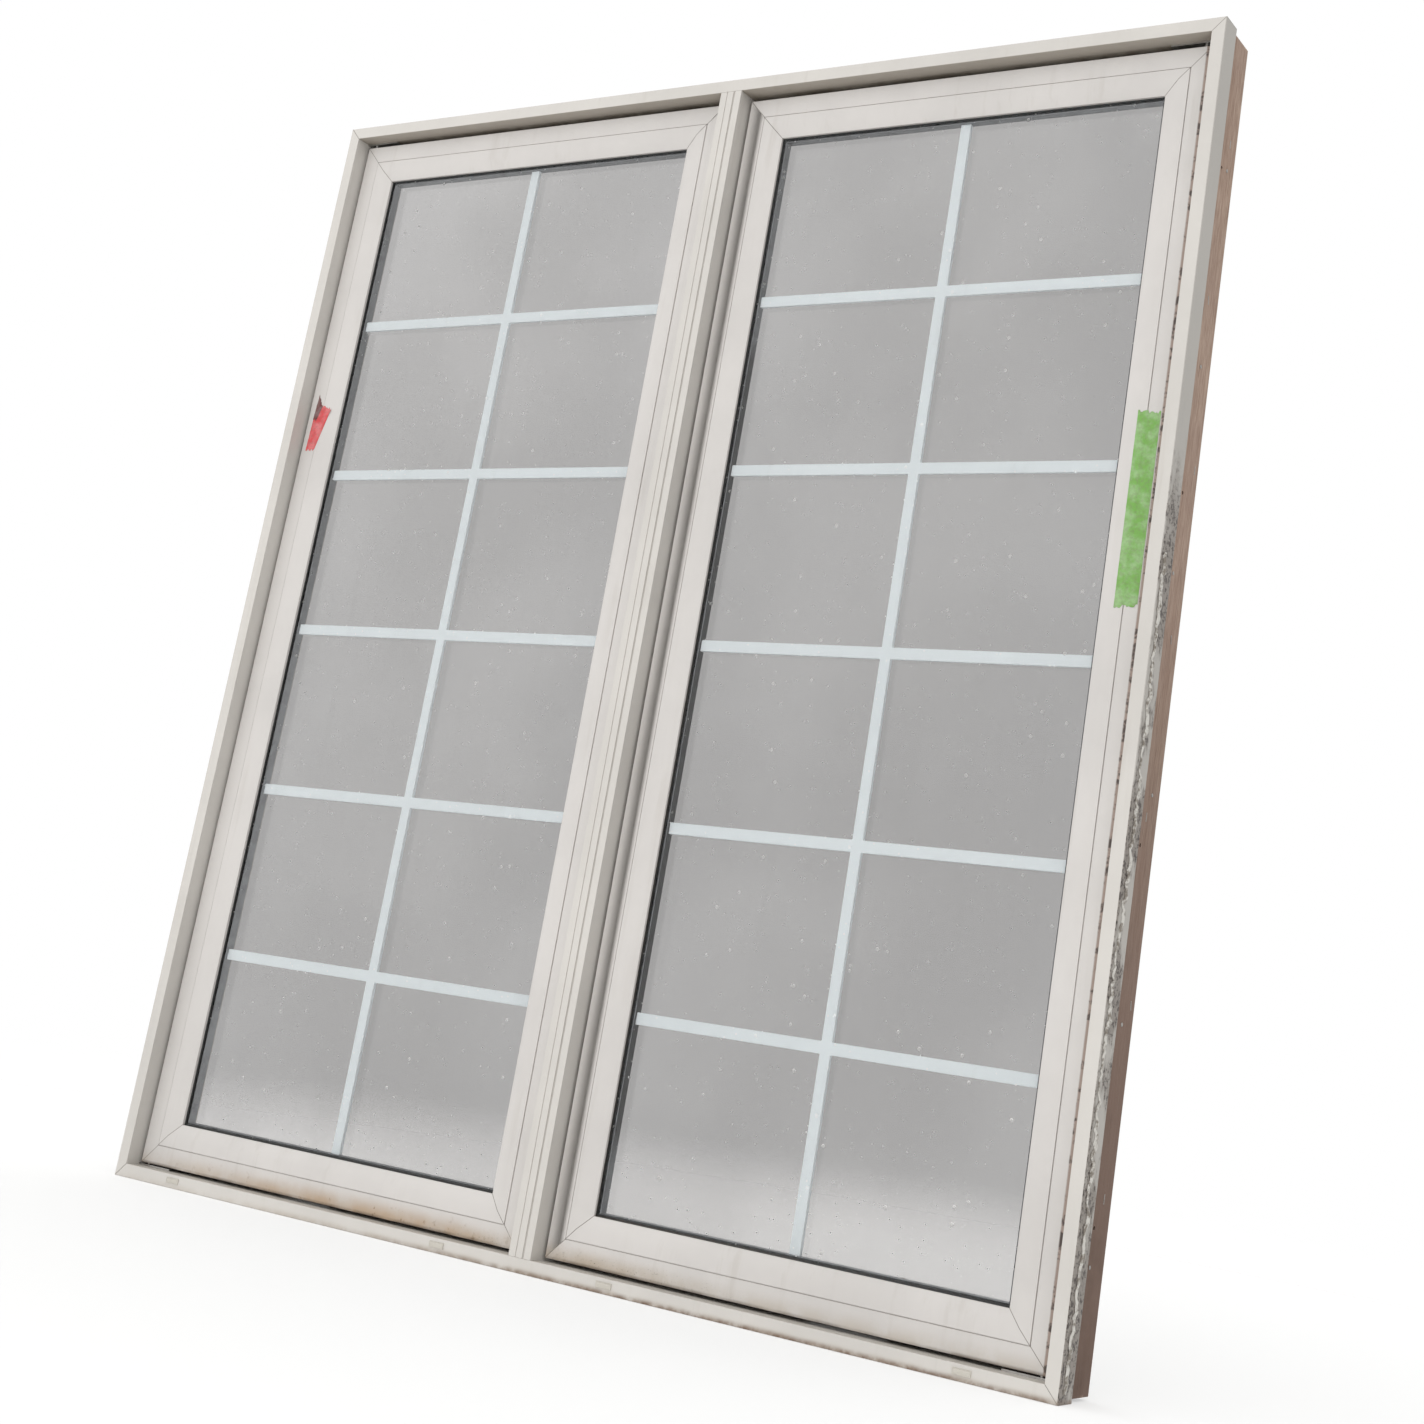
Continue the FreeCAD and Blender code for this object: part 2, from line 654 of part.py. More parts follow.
def build_lever():
    hub = post("lever_boss", "-lock_offset - lever_width / 2", LEVER_DEPTH, "lock_height",
               "lever_hub", "lever_width", (1, 0, 0))
    pin = post("lever_pivot_pin", "-lock_offset - case_width / 2", LEVER_DEPTH, "lock_height",
               "lever_pin", "case_width", (1, 0, 0))
    depth = f"{LEVER_DEPTH} + lever_thick / 2 * sin(lever_angle * 1 deg)"
    height = "lock_height - lever_thick / 2 * cos(lever_angle * 1 deg)"
    sizes = ("lever_width", "lever_long", "lever_thick")
    bar = turned_box("lever_bar", "-lock_offset - lever_width / 2", depth, height, sizes,
                     FreeCAD.Vector(1, 0, 0), "lever_angle * 1 deg")
    pair("lock_lever", fuse("lever_body", [hub, pin, bar]))


def build_tie_bar():
    """A flat bar beside the mullion with two studs that slide in front of the keepers."""
    start = f"{MULLION_SIDE} - bar_gap - tie_thick"
    low = "(keeper_low - lock_stroke - tie_over)"
    bar = box("tie_flat", start, "tie_depth", low, "tie_thick", "tie_wide",
              "keeper_high - keeper_low + 2 * tie_over")
    studs = []
    for name in ("keeper_low", "keeper_high"):
        studs.append(post(f"stud_{name}", f"{start} - stud_long", "tie_depth + tie_wide / 2",
                          f"{name} - lock_stroke", "stud_radius", "stud_long", (1, 0, 0)))
    pair("tie_bar", group("tie_bar_solids", [bar] + studs))


def build_keepers():
    """Two hooked keepers on the lock stile's edge."""
    edge = f"({SASH_RIGHT} - lip_reach)"
    hooks = []
    for name in ("keeper_low", "keeper_high"):
        low = f"{name} - keeper_tall / 2"
        plate = box(f"{name}_plate", edge, "lip_back + 2", low, "keeper_plate",
                    "sash_back - lip_back - 4", "keeper_tall")
        hook = box(f"{name}_hook", f"{edge} + keeper_plate", "keeper_depth", low, "keeper_hook",
                   "keeper_wall", "keeper_tall")
        hooks += [plate, hook]
    pair("keepers", group("keepers_left", hooks))


# ---------------------------------------------------------------- checks and files
def check_document():
    for item in doc.Objects:
        if "Invalid" in item.State or "Error" in item.State:
            raise RuntimeError(f"{item.Name} failed: {item.State}")
    for label, item in nodes:
        if item.Shape.isNull() or not item.Shape.isValid() or not item.Shape.Solids:
            raise RuntimeError(f"{label} has no valid solid")


def write_files():
    os.makedirs("parts", exist_ok=True)
    for label, item in nodes:
        item.Shape.exportStep(f"parts/{label}.step")
        volume = sum(solid.Volume for solid in item.Shape.Solids)
        print(f"{label}: {len(item.Shape.Solids)} solids, {volume / 1000:.1f} cm3")


fill_sheet()
build_frame()
build_wood()
build_mullion()
build_seals()
build_weep_covers()
build_sash_members()
build_glazing()
build_hinges()
build_track()
build_keepers()
build_operator_base()
build_operator_cover()
build_arm()
build_crank()
build_lock_case()
build_lever()
build_tie_bar()
doc.recompute()
check_document()
write_files()
print(f"{len(nodes)} nodes")
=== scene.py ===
import json
import math
import random

import bpy
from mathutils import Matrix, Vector


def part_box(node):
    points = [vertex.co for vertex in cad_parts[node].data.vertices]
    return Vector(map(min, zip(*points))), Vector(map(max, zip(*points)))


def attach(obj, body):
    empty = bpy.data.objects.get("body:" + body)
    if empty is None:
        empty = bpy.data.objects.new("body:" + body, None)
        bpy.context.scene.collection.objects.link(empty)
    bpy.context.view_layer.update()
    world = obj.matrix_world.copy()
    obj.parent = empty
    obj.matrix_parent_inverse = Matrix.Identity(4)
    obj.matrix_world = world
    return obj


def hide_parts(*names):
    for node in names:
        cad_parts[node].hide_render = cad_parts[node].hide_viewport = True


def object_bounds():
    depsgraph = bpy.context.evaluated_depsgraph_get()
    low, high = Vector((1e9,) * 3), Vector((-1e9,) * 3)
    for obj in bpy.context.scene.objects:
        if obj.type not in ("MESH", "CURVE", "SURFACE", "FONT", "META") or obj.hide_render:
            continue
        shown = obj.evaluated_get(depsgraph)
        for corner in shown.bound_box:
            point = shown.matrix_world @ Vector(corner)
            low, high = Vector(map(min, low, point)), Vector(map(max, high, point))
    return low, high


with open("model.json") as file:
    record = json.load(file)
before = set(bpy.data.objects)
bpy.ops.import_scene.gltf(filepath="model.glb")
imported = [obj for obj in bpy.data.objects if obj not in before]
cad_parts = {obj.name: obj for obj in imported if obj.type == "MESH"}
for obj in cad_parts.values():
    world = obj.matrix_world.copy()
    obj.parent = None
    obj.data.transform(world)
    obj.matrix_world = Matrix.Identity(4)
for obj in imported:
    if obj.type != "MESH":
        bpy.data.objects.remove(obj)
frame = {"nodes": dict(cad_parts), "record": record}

MM = 0.001
SIDES = (("left", -1), ("right", 1))

cad_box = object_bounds()
LOW, HIGH = (Vector(corner) for corner in cad_box)
HEIGHT = HIGH.z - LOW.z
MIDDLE = (LOW + HIGH) / 2
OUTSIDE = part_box("frame_head")[0].y
SILL_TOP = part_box("left_rail_bottom")[0].z

record = frame["record"]
body_of = {node: body for body, members in record["behaviour"]["bodies"].items() for node in members}
slot_of = {part["node"]: part["material_slot"] for part in record["subparts"]}
materials = {}


# ---------------------------------------------------------------- camera, floor and light
def set_camera():
    data = bpy.data.cameras.new("Window camera")
    data.lens = 52.66
    data.shift_x = -0.118
    data.shift_y = -0.1208
    data.clip_end = 200
    camera = bpy.data.objects.new("Window camera", data)
    camera.location = (1.8948, -2.4108, 0.3701)
    camera.rotation_euler = [math.radians(turn) for turn in (103.731, -8.572, 29.914)]
    bpy.context.scene.collection.objects.link(camera)
    bpy.context.scene.camera = camera


BRIGHTEST_TOWARDS = (-0.2, -0.78, 0.6)
FRONT_SKY = 1.38
ROOM_SKY = 0.74
THROUGH_FRONT = 0.98
THROUGH_BACK = 0.39
BACKDROP = 1.0

FLOOR_RADIUS = 40
FADE_START, FADE_END = 0.2, 4.5


def set_sky():
    """A soft sky, brightest above and in front of the window; what shows through the glass is dimmer."""
    world = bpy.data.worlds.new("Soft sky")
    bpy.context.scene.world = world
    world.use_nodes = True
    tree = world.node_tree
    tree.nodes.clear()
    direction = add(tree, "TexCoord").outputs["Generated"]
    pair = {0: direction, 1: BRIGHTEST_TOWARDS}
    facing = add(tree, "VectorMath", pair, operation="DOT_PRODUCT").outputs["Value"]
    lighting = stretch(tree, facing, -0.5, 0.9, ROOM_SKY, FRONT_SKY)
    through = stretch(tree, facing, -0.5, 0.9, THROUGH_BACK, THROUGH_FRONT)
    rays = add(tree, "LightPath").outputs
    unspread = figure(tree, "LESS_THAN", rays["Diffuse Depth"], 0.5)
    looked_through = figure(tree, "MULTIPLY", rays["Is Transmission Ray"], unspread)
    strength = add(tree, "Mix", {0: looked_through, 2: lighting, 3: through}).outputs[0]
    strength = add(tree, "Mix", {0: rays["Is Camera Ray"], 2: strength, 3: BACKDROP}).outputs[0]
    sky = add(tree, "Background", {"Color": (1, 1, 1, 1), "Strength": strength})
    result = tree.nodes.new("ShaderNodeOutputWorld")
    tree.links.new(sky.outputs[0], result.inputs["Surface"])


def make_floor():
    """A round pale floor that fades into the sky far from the window."""
    bpy.ops.mesh.primitive_circle_add(vertices=96, radius=FLOOR_RADIUS, fill_type="NGON",
                                      location=(0, 0, LOW.z - 0.5 * MM))
    floor = bpy.context.object
    floor.name = "Floor"
    material, tree, surface = new_material("Pale floor")
    spot = add(tree, "TexCoord").outputs["Object"]
    distance = add(tree, "VectorMath", {0: spot}, operation="LENGTH").outputs["Value"]
    far = stretch(tree, distance, FADE_START, FADE_END, 0.45, 1)
    clear = add(tree, "BsdfTransparent")
    surface.inputs["Base Color"].default_value = tone(248, 248, 247)
    surface.inputs["Roughness"].default_value = 0.9
    both = add(tree, "MixShader", {0: far, 1: surface.outputs[0], 2: clear.outputs[0]})
    tree.links.new(both.outputs[0], tree.nodes["Material Output"].inputs["Surface"])
    floor.data.materials.append(material)


# ---------------------------------------------------------------- building with nodes
def tone(red, green, blue):
    """A colour given in the usual 0 to 255 steps."""
    steps = [value / 255 for value in (red, green, blue)]
    return tuple([((v + 0.055) / 1.055) ** 2.4 if v > 0.04045 else v / 12.92 for v in steps] + [1])


def add(tree, kind, sockets=None, **settings):
    """A shader node with its settings, its sockets linked or set."""
    node = tree.nodes.new("ShaderNode" + kind)
    for name, value in settings.items():
        setattr(node, name, value)
    for name, value in (sockets or {}).items():
        if isinstance(value, bpy.types.NodeSocket):
            tree.links.new(value, node.inputs[name])
        else:
            node.inputs[name].default_value = value
    return node


def figure(tree, operation, first, second=0.0):
    """One sum on two values."""
    return add(tree, "Math", {0: first, 1: second}, operation=operation).outputs[0]


def stretch(tree, value, low, high, out_low=0.0, out_high=1.0):
    """Move a value from one range to another, smoothly and never outside it."""
    node = add(tree, "MapRange", {"Value": value}, interpolation_type="SMOOTHSTEP")
    node.inputs["From Min"].default_value = low
    node.inputs["From Max"].default_value = high
    node.inputs["To Min"].default_value = out_low
    node.inputs["To Max"].default_value = out_high
    return node.outputs["Result"]


def noise(tree, place, scale, detail=3.0, roughness=0.55):
    sockets = {"Vector": place, "Scale": scale, "Detail": detail, "Roughness": roughness}
    return add(tree, "TexNoise", sockets).outputs[0]


def tint(tree, mask, under, over):
    """Lay one colour over another where the mask is high."""
    return add(tree, "Mix", {0: mask, 6: under, 7: over}, data_type="RGBA").outputs[2]


def start_group(name, inputs, outputs):
    """A new node group with named sockets."""
    tree = bpy.data.node_groups.new(name, "ShaderNodeTree")
    for label, value in inputs.items():
        kind = "NodeSocketVector" if isinstance(value, tuple) else "NodeSocketFloat"
        socket = tree.interface.new_socket(label, in_out="INPUT", socket_type=kind)
        socket.default_value = value
    for label in outputs:
        tree.interface.new_socket(label, in_out="OUTPUT", socket_type="NodeSocketFloat")
    given = tree.nodes.new("NodeGroupInput").outputs
    result = tree.nodes.new("NodeGroupOutput").inputs
    return tree, given, result


def use_group(tree, group, **values):
    """Place a group in a material with its own values, and return its outputs."""
    node = tree.nodes.new("ShaderNodeGroup")
    node.node_tree = group
    for name, value in values.items():
        label = name.replace("_", " ").title()
        if isinstance(value, bpy.types.NodeSocket):
            tree.links.new(value, node.inputs[label])
        else:
            node.inputs[label].default_value = value
    return node.outputs


def new_material(name):
    material = bpy.data.materials.new(name)
    material.use_nodes = True
    tree = material.node_tree
    return material, tree, tree.nodes["Principled BSDF"]


def raise_surface(tree, surface, height, distance, strength=1.0):
    """Turn a height into small relief on the surface."""
    bump = add(tree, "Bump", {"Height": height, "Distance": distance, "Strength": strength})
    tree.links.new(bump.outputs["Normal"], surface.inputs["Normal"])


# ---------------------------------------------------------------- shared effects
def make_skin_group():
    """The fine skin of moulded or extruded plastic, and its slow change of tone."""
    tree, given, result = start_group("Plastic skin", {"Grain Scale": 900.0}, ("Height", "Tone"))
    place = add(tree, "TexCoord").outputs["Object"]
    tree.links.new(noise(tree, place, given["Grain Scale"], 2), result["Height"])
    tree.links.new(stretch(tree, noise(tree, place, 3.1, 5, 0.6), 0.35, 0.7), result["Tone"])
    return tree


def make_crevice_group():
    """A mask of where two surfaces meet and shut out light, read from ambient occlusion; the colours laid
    with it paint settled dirt and painted shade, or rust on metal.
    """
    tree, given, result = start_group("Crevice dirt and shade", {"Reach": 0.006, "Patch Scale": 40.0}, ("Mask",))
    place = add(tree, "TexCoord").outputs["Object"]
    openness = add(tree, "AmbientOcclusion", {"Distance": given["Reach"]}, samples=8).outputs["AO"]
    closed = stretch(tree, openness, 0.62, 0.2)
    patches = stretch(tree, noise(tree, place, given["Patch Scale"], 6, 0.65), 0.3, 0.62, 0.35, 1)
    tree.links.new(figure(tree, "MULTIPLY", closed, patches), result["Mask"])
    return tree


def make_edge_group():
    """Wear along outer edges."""
    tree, given, result = start_group("Edge wear", {"Reach": 0.002, "Patch Scale": 90.0}, ("Mask",))
    place = add(tree, "TexCoord").outputs["Object"]
    depth = add(tree, "AmbientOcclusion", {"Distance": given["Reach"]}, samples=6, inside=True,
                only_local=True).outputs["AO"]
    edge = stretch(tree, depth, 0.8, 0.35)
    patches = stretch(tree, noise(tree, place, given["Patch Scale"], 5, 0.7), 0.45, 0.62)
    tree.links.new(figure(tree, "MULTIPLY", edge, patches), result["Mask"])
    return tree


def make_stain_group():
    """A stain that is strongest at one height and fades upwards and to both sides."""
    inputs = {"Bottom": 0.025, "Reach": 0.03, "Across": 0.0, "Spread": 0.5, "Patch Scale": 35.0}
    tree, given, result = start_group("Low stain", inputs, ("Mask", "Specks"))
    place = add(tree, "TexCoord").outputs["Object"]
    parts = add(tree, "SeparateXYZ", {0: place}).outputs
    above = figure(tree, "SUBTRACT", parts["Z"], given["Bottom"])
    rise = stretch(tree, figure(tree, "DIVIDE", above, given["Reach"]), 1, 0)
    aside = figure(tree, "ABSOLUTE", figure(tree, "SUBTRACT", parts["X"], given["Across"]))
    near = stretch(tree, figure(tree, "DIVIDE", aside, given["Spread"]), 1, 0.15)
    amount = figure(tree, "MULTIPLY", rise, near)
    soft = stretch(tree, noise(tree, place, given["Patch Scale"], 7, 0.62), 0.3, 0.62, 0.12, 1)
    fine = figure(tree, "MULTIPLY", given["Patch Scale"], 9)
    dots = stretch(tree, noise(tree, place, fine, 3, 0.6), 0.6, 0.7)
    tree.links.new(figure(tree, "MULTIPLY", amount, soft), result["Mask"])
    tree.links.new(figure(tree, "MULTIPLY", figure(tree, "MULTIPLY", amount, dots), soft), result["Specks"])
    return tree


def make_streak_group():
    """Faint runs left by rain, long in height and narrow across."""
    tree, given, result = start_group("Rain streaks", {"Streak Scale": 60.0}, ("Mask",))
    place = add(tree, "TexCoord").outputs["Object"]
    pulled = add(tree, "Mapping", {"Vector": place, "Scale": (1, 1, 0.06)}).outputs[0]
    runs = stretch(tree, noise(tree, pulled, given["Streak Scale"], 4, 0.6), 0.52, 0.72)
    clouds = stretch(tree, noise(tree, place, 5.0, 3), 0.4, 0.65)
    tree.links.new(figure(tree, "MULTIPLY", runs, clouds), result["Mask"])
    return tree


def make_dust_group():
    """Dust on whatever faces up."""
    tree, given, result = start_group("Settled dust", {"Patch Scale": 70.0}, ("Mask",))
    place = add(tree, "TexCoord").outputs["Object"]
    normal = add(tree, "TexCoord").outputs["Normal"]
    up = stretch(tree, add(tree, "SeparateXYZ", {0: normal}).outputs["Z"], 0.25, 0.95)
    patches = stretch(tree, noise(tree, place, given["Patch Scale"], 6, 0.7), 0.25, 0.7, 0.3, 1)
    tree.links.new(figure(tree, "MULTIPLY", up, patches), result["Mask"])
    return tree


def make_board_group():
    """Sawn softwood: growth bands, fibres and the odd knot, along the board."""
    inputs = {"Place": (0.0, 0.0, 0.0), "Fibre Scale": 260.0}
    tree, given, result = start_group("Board grain", inputs, ("Bands", "Fibres"))
    sockets = {"Vector": given["Place"], "Scale": 26.0, "Distortion": 7.0, "Detail": 3.0,
               "Detail Scale": 1.6, "Detail Roughness": 0.6}
    bands = add(tree, "TexWave", sockets, bands_direction="X").outputs[0]
    fibres = noise(tree, given["Place"], given["Fibre Scale"], 4, 0.7)
    tree.links.new(bands, result["Bands"])
    tree.links.new(fibres, result["Fibres"])
    return tree


def make_spot_group():
    """Scattered round spots, each with its own size, and some cells left empty."""
    inputs = {"Spot Scale": 90.0, "Spot Size": 0.16, "Share": 0.4}
    tree, given, result = start_group("Water spots", inputs, ("Mask", "Height"))
    place = add(tree, "TexCoord").outputs["Object"]
    flat = add(tree, "Mapping", {"Vector": place, "Scale": (1, 0, 1)}).outputs[0]
    cells = add(tree, "TexVoronoi", {"Vector": flat, "Scale": given["Spot Scale"]}).outputs
    parts = add(tree, "SeparateColor", {0: cells["Color"]}).outputs
    kept = figure(tree, "LESS_THAN", parts[0], given["Share"])
    radius = figure(tree, "MULTIPLY", given["Spot Size"], figure(tree, "ADD", parts[1], 0.35))
    closeness = figure(tree, "SUBTRACT", 1, figure(tree, "DIVIDE", cells["Distance"], radius))
    dome = stretch(tree, closeness, 0, 0.6)
    spots = figure(tree, "MULTIPLY", dome, kept)
    tree.links.new(spots, result["Height"])
    tree.links.new(stretch(tree, spots, 0.05, 0.4), result["Mask"])
    return tree


def make_brush_group():
    """Fine lines in rolled or brushed metal, and wide marks from handling."""
    tree, given, result = start_group("Metal marks", {"Line Scale": 300.0}, ("Lines", "Marks"))
    place = add(tree, "TexCoord").outputs["Object"]
    pulled = add(tree, "Mapping", {"Vector": place, "Scale": (0.08, 1, 1)}).outputs[0]
    tree.links.new(noise(tree, pulled, given["Line Scale"], 4, 0.7), result["Lines"])
    tree.links.new(stretch(tree, noise(tree, place, 45.0, 5, 0.65), 0.42, 0.68), result["Marks"])
    return tree


def make_side_group():
    """Old sealant and mortar on the outer side of the right jamb, up to a given height, and a mask of the
    whole outer side face, which the frame vinyl paints with shade.
    """
    inputs = {"Face": 0.82, "Top": 1.1, "Patch Scale": 18.0}
    tree, given, result = start_group("Side residue and shade", inputs, ("Side", "Mask", "Specks", "Height"))
    place = add(tree, "TexCoord").outputs["Object"]
    parts = add(tree, "SeparateXYZ", {0: place}).outputs
    outer = figure(tree, "GREATER_THAN", parts["X"], given["Face"])
    drop = figure(tree, "SUBTRACT", given["Top"], parts["Z"])
    wander = figure(tree, "MULTIPLY", noise(tree, place, 9.0, 3), 0.5)
    low = stretch(tree, figure(tree, "ADD", drop, wander), 0.18, 0.34)
    pulled = add(tree, "Mapping", {"Vector": place, "Scale": (1, 1, 0.35)}).outputs[0]
    cover = stretch(tree, noise(tree, pulled, given["Patch Scale"], 7, 0.62), 0.44, 0.52)
    fine = figure(tree, "MULTIPLY", given["Patch Scale"], 12)
    rough = noise(tree, place, fine, 4, 0.7)
    mask = figure(tree, "MULTIPLY", figure(tree, "MULTIPLY", outer, low), cover)
    tree.links.new(outer, result["Side"])
    tree.links.new(mask, result["Mask"])
    tree.links.new(figure(tree, "MULTIPLY", mask, stretch(tree, rough, 0.5, 0.58)), result["Specks"])
    tree.links.new(figure(tree, "MULTIPLY", mask, figure(tree, "ADD", rough, 0.5)), result["Height"])
    return tree


def make_mitre_group():
    """The thin dark lines where the sides of a rectangular ring meet at 45 degrees."""
    inputs = {"Centre X": 0.0, "Centre Z": 0.9, "Half Width": 0.8, "Half Height": 0.9, "Line Width": 0.0006,
              "Member Width": 0.066}
    tree, given, result = start_group("Mitre lines", inputs, ("Mask",))
    place = add(tree, "TexCoord").outputs["Object"]
    parts = add(tree, "SeparateXYZ", {0: place}).outputs
    across = figure(tree, "SUBTRACT", figure(tree, "ABSOLUTE", parts["X"]), given["Centre X"])
    from_side = figure(tree, "SUBTRACT", given["Half Width"], figure(tree, "ABSOLUTE", across))
    up = figure(tree, "SUBTRACT", parts["Z"], given["Centre Z"])
    from_end = figure(tree, "SUBTRACT", given["Half Height"], figure(tree, "ABSOLUTE", up))
    gap = figure(tree, "ABSOLUTE", figure(tree, "SUBTRACT", from_side, from_end))
    line = stretch(tree, figure(tree, "DIVIDE", gap, given["Line Width"]), 1, 0.5)
    within = figure(tree, "LESS_THAN", from_side, given["Member Width"])
    tree.links.new(figure(tree, "MULTIPLY", line, within), result["Mask"])
    return tree


# ---------------------------------------------------------------- vinyl
def vinyl_base(name, colour, roughness):
    """Off-white vinyl with rain streaks, a fine skin, and dirt and painted shade in its corners."""
    material, tree, surface = new_material(name)
    skin = use_group(tree, groups["skin"], grain_scale=700)
    crevice = use_group(tree, groups["crevice"], reach=0.007, patch_scale=45)
    streaks = use_group(tree, groups["streak"], streak_scale=55)
    dust = use_group(tree, groups["dust"], patch_scale=60)
    shaded = tuple([channel * 0.9 for channel in colour[:3]] + [1])
    paint = tint(tree, skin["Tone"], colour, shaded)
    paint = tint(tree, figure(tree, "MULTIPLY", streaks["Mask"], 0.2), paint, tone(160, 152, 140))
    paint = tint(tree, figure(tree, "MULTIPLY", dust["Mask"], 0.45), paint, tone(160, 152, 138))
    # Darker in corners and gaps where the occlusion mask is high: crevice dirt and painted shade.
    paint = tint(tree, figure(tree, "MULTIPLY", crevice["Mask"], 0.35), paint, tone(130, 118, 102))
    gloss = figure(tree, "ADD", roughness, figure(tree, "MULTIPLY", crevice["Mask"], 0.3))
    tree.links.new(gloss, surface.inputs["Roughness"])
    raise_surface(tree, surface, skin["Height"], 0.00012, 0.5)
    return material, tree, surface, paint


def make_frame_vinyl(name):
    material, tree, surface, paint = vinyl_base(name, tone(201, 197, 191), 0.42)
    stain = groups["stain"]
    sill = use_group(tree, stain, bottom=0.0, reach=0.011, across=0.25, spread=1.6, patch_scale=26)
    chips = use_group(tree, stain, bottom=0.0, reach=0.008, across=0.4, spread=1.0, patch_scale=48)
    side = use_group(tree, groups["side"], face=HIGH.x - 1.2 * MM, top=1.12, patch_scale=16)
    under = add(tree, "SeparateXYZ", {0: add(tree, "TexCoord").outputs["Normal"]}).outputs["Z"]
    # Occlusion over a wide reach, a mask for painted shade deep in the reveal.
    reveal = use_group(tree, groups["crevice"], reach=0.05, patch_scale=20)
    facing_down = stretch(tree, under, -0.5, -0.95)
    shade = figure(tree, "MULTIPLY", facing_down, reveal["Mask"])
    mitre = use_group(tree, groups["mitre"], centre_z=MIDDLE.z, half_width=HIGH.x, half_height=HEIGHT / 2,
                      line_width=0.0009, member_width=0.02)
    # Painted shade: faces that point down are darker, and darker still where the reveal shuts out light.
    paint = tint(tree, figure(tree, "MULTIPLY", facing_down, 0.6), paint, tone(148, 136, 120))
    paint = tint(tree, figure(tree, "MULTIPLY", shade, 0.8), paint, tone(104, 92, 76))
    # Painted shade: the whole outer side face of the right jamb is greyer.
    paint = tint(tree, figure(tree, "MULTIPLY", side["Side"], 0.6), paint, tone(150, 146, 139))
    paint = tint(tree, figure(tree, "MULTIPLY", mitre["Mask"], 0.6), paint, tone(96, 88, 76))
    paint = tint(tree, figure(tree, "MULTIPLY", sill["Mask"], 0.5), paint, tone(148, 130, 106))
    paint = tint(tree, figure(tree, "MULTIPLY", side["Mask"], 0.8), paint, tone(122, 114, 106))
    paint = tint(tree, side["Specks"], paint, tone(58, 48, 42))
    paint = tint(tree, chips["Mask"], paint, tone(104, 80, 60))
    tree.links.new(paint, surface.inputs["Base Color"])
    skin = tree.nodes["Bump"].inputs["Height"].links[0].from_socket
    height = figure(tree, "ADD", figure(tree, "MULTIPLY", skin, 0.15), side["Height"])
    raise_surface(tree, surface, height, 0.0008, 0.6)
    return material


def make_sash_vinyl(name):
    material, tree, surface, paint = vinyl_base(name, tone(202, 198, 194), 0.4)
    bottom = SILL_TOP
    stain = groups["stain"]
    mildew = use_group(tree, stain, bottom=bottom, reach=0.03, across=-0.28, spread=0.6, patch_scale=9)
    corner = use_group(tree, stain, bottom=bottom, reach=0.026, across=0.1, spread=0.33, patch_scale=40)
    faint = use_group(tree, stain, bottom=bottom, reach=0.024, across=0.0, spread=2.0, patch_scale=22)
    seam = use_group(tree, stain, bottom=bottom, reach=0.005, across=0.0, spread=3.0, patch_scale=12)
    low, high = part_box("right_rail_bottom")
    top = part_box("right_rail_top")[1]
    mitre = use_group(tree, groups["mitre"], centre_x=(low.x + high.x) / 2, centre_z=(low.z + top.z) / 2,
                      half_width=(high.x - low.x) / 2, half_height=(top.z - low.z) / 2, line_width=0.0009)
    across = add(tree, "SeparateXYZ", {0: add(tree, "TexCoord").outputs["Object"]}).outputs["X"]
    place = add(tree, "TexCoord").outputs["Object"]
    edge_spots = stretch(tree, noise(tree, place, 60.0, 5, 0.7), 0.5, 0.6)
    edge_band = stretch(tree, across, high.x - 10 * MM, high.x - 7.5 * MM)
    paint = tint(tree, figure(tree, "MULTIPLY", mitre["Mask"], 0.75), paint, tone(92, 84, 72))
    paint = tint(tree, figure(tree, "MULTIPLY", edge_band, 0.85), paint, tone(134, 112, 98))
    paint = tint(tree, figure(tree, "MULTIPLY", edge_band, edge_spots), paint, tone(62, 50, 44))
    paint = tint(tree, figure(tree, "MULTIPLY", faint["Mask"], 0.45), paint, tone(168, 154, 132))
    paint = tint(tree, figure(tree, "MULTIPLY", mildew["Mask"], 0.85), paint, tone(170, 142, 110))
    paint = tint(tree, mildew["Specks"], paint, tone(120, 92, 62))
    paint = tint(tree, figure(tree, "MULTIPLY", corner["Mask"], 0.35), paint, tone(150, 134, 108))
    paint = tint(tree, corner["Specks"], paint, tone(44, 38, 32))
    paint = tint(tree, figure(tree, "MULTIPLY", seam["Mask"], 0.8), paint, tone(78, 64, 50))
    tree.links.new(paint, surface.inputs["Base Color"])
    return material


def make_trim_vinyl(name, colour, roughness):
    material, tree, surface, paint = vinyl_base(name, colour, roughness)
    tree.links.new(paint, surface.inputs["Base Color"])
    return material


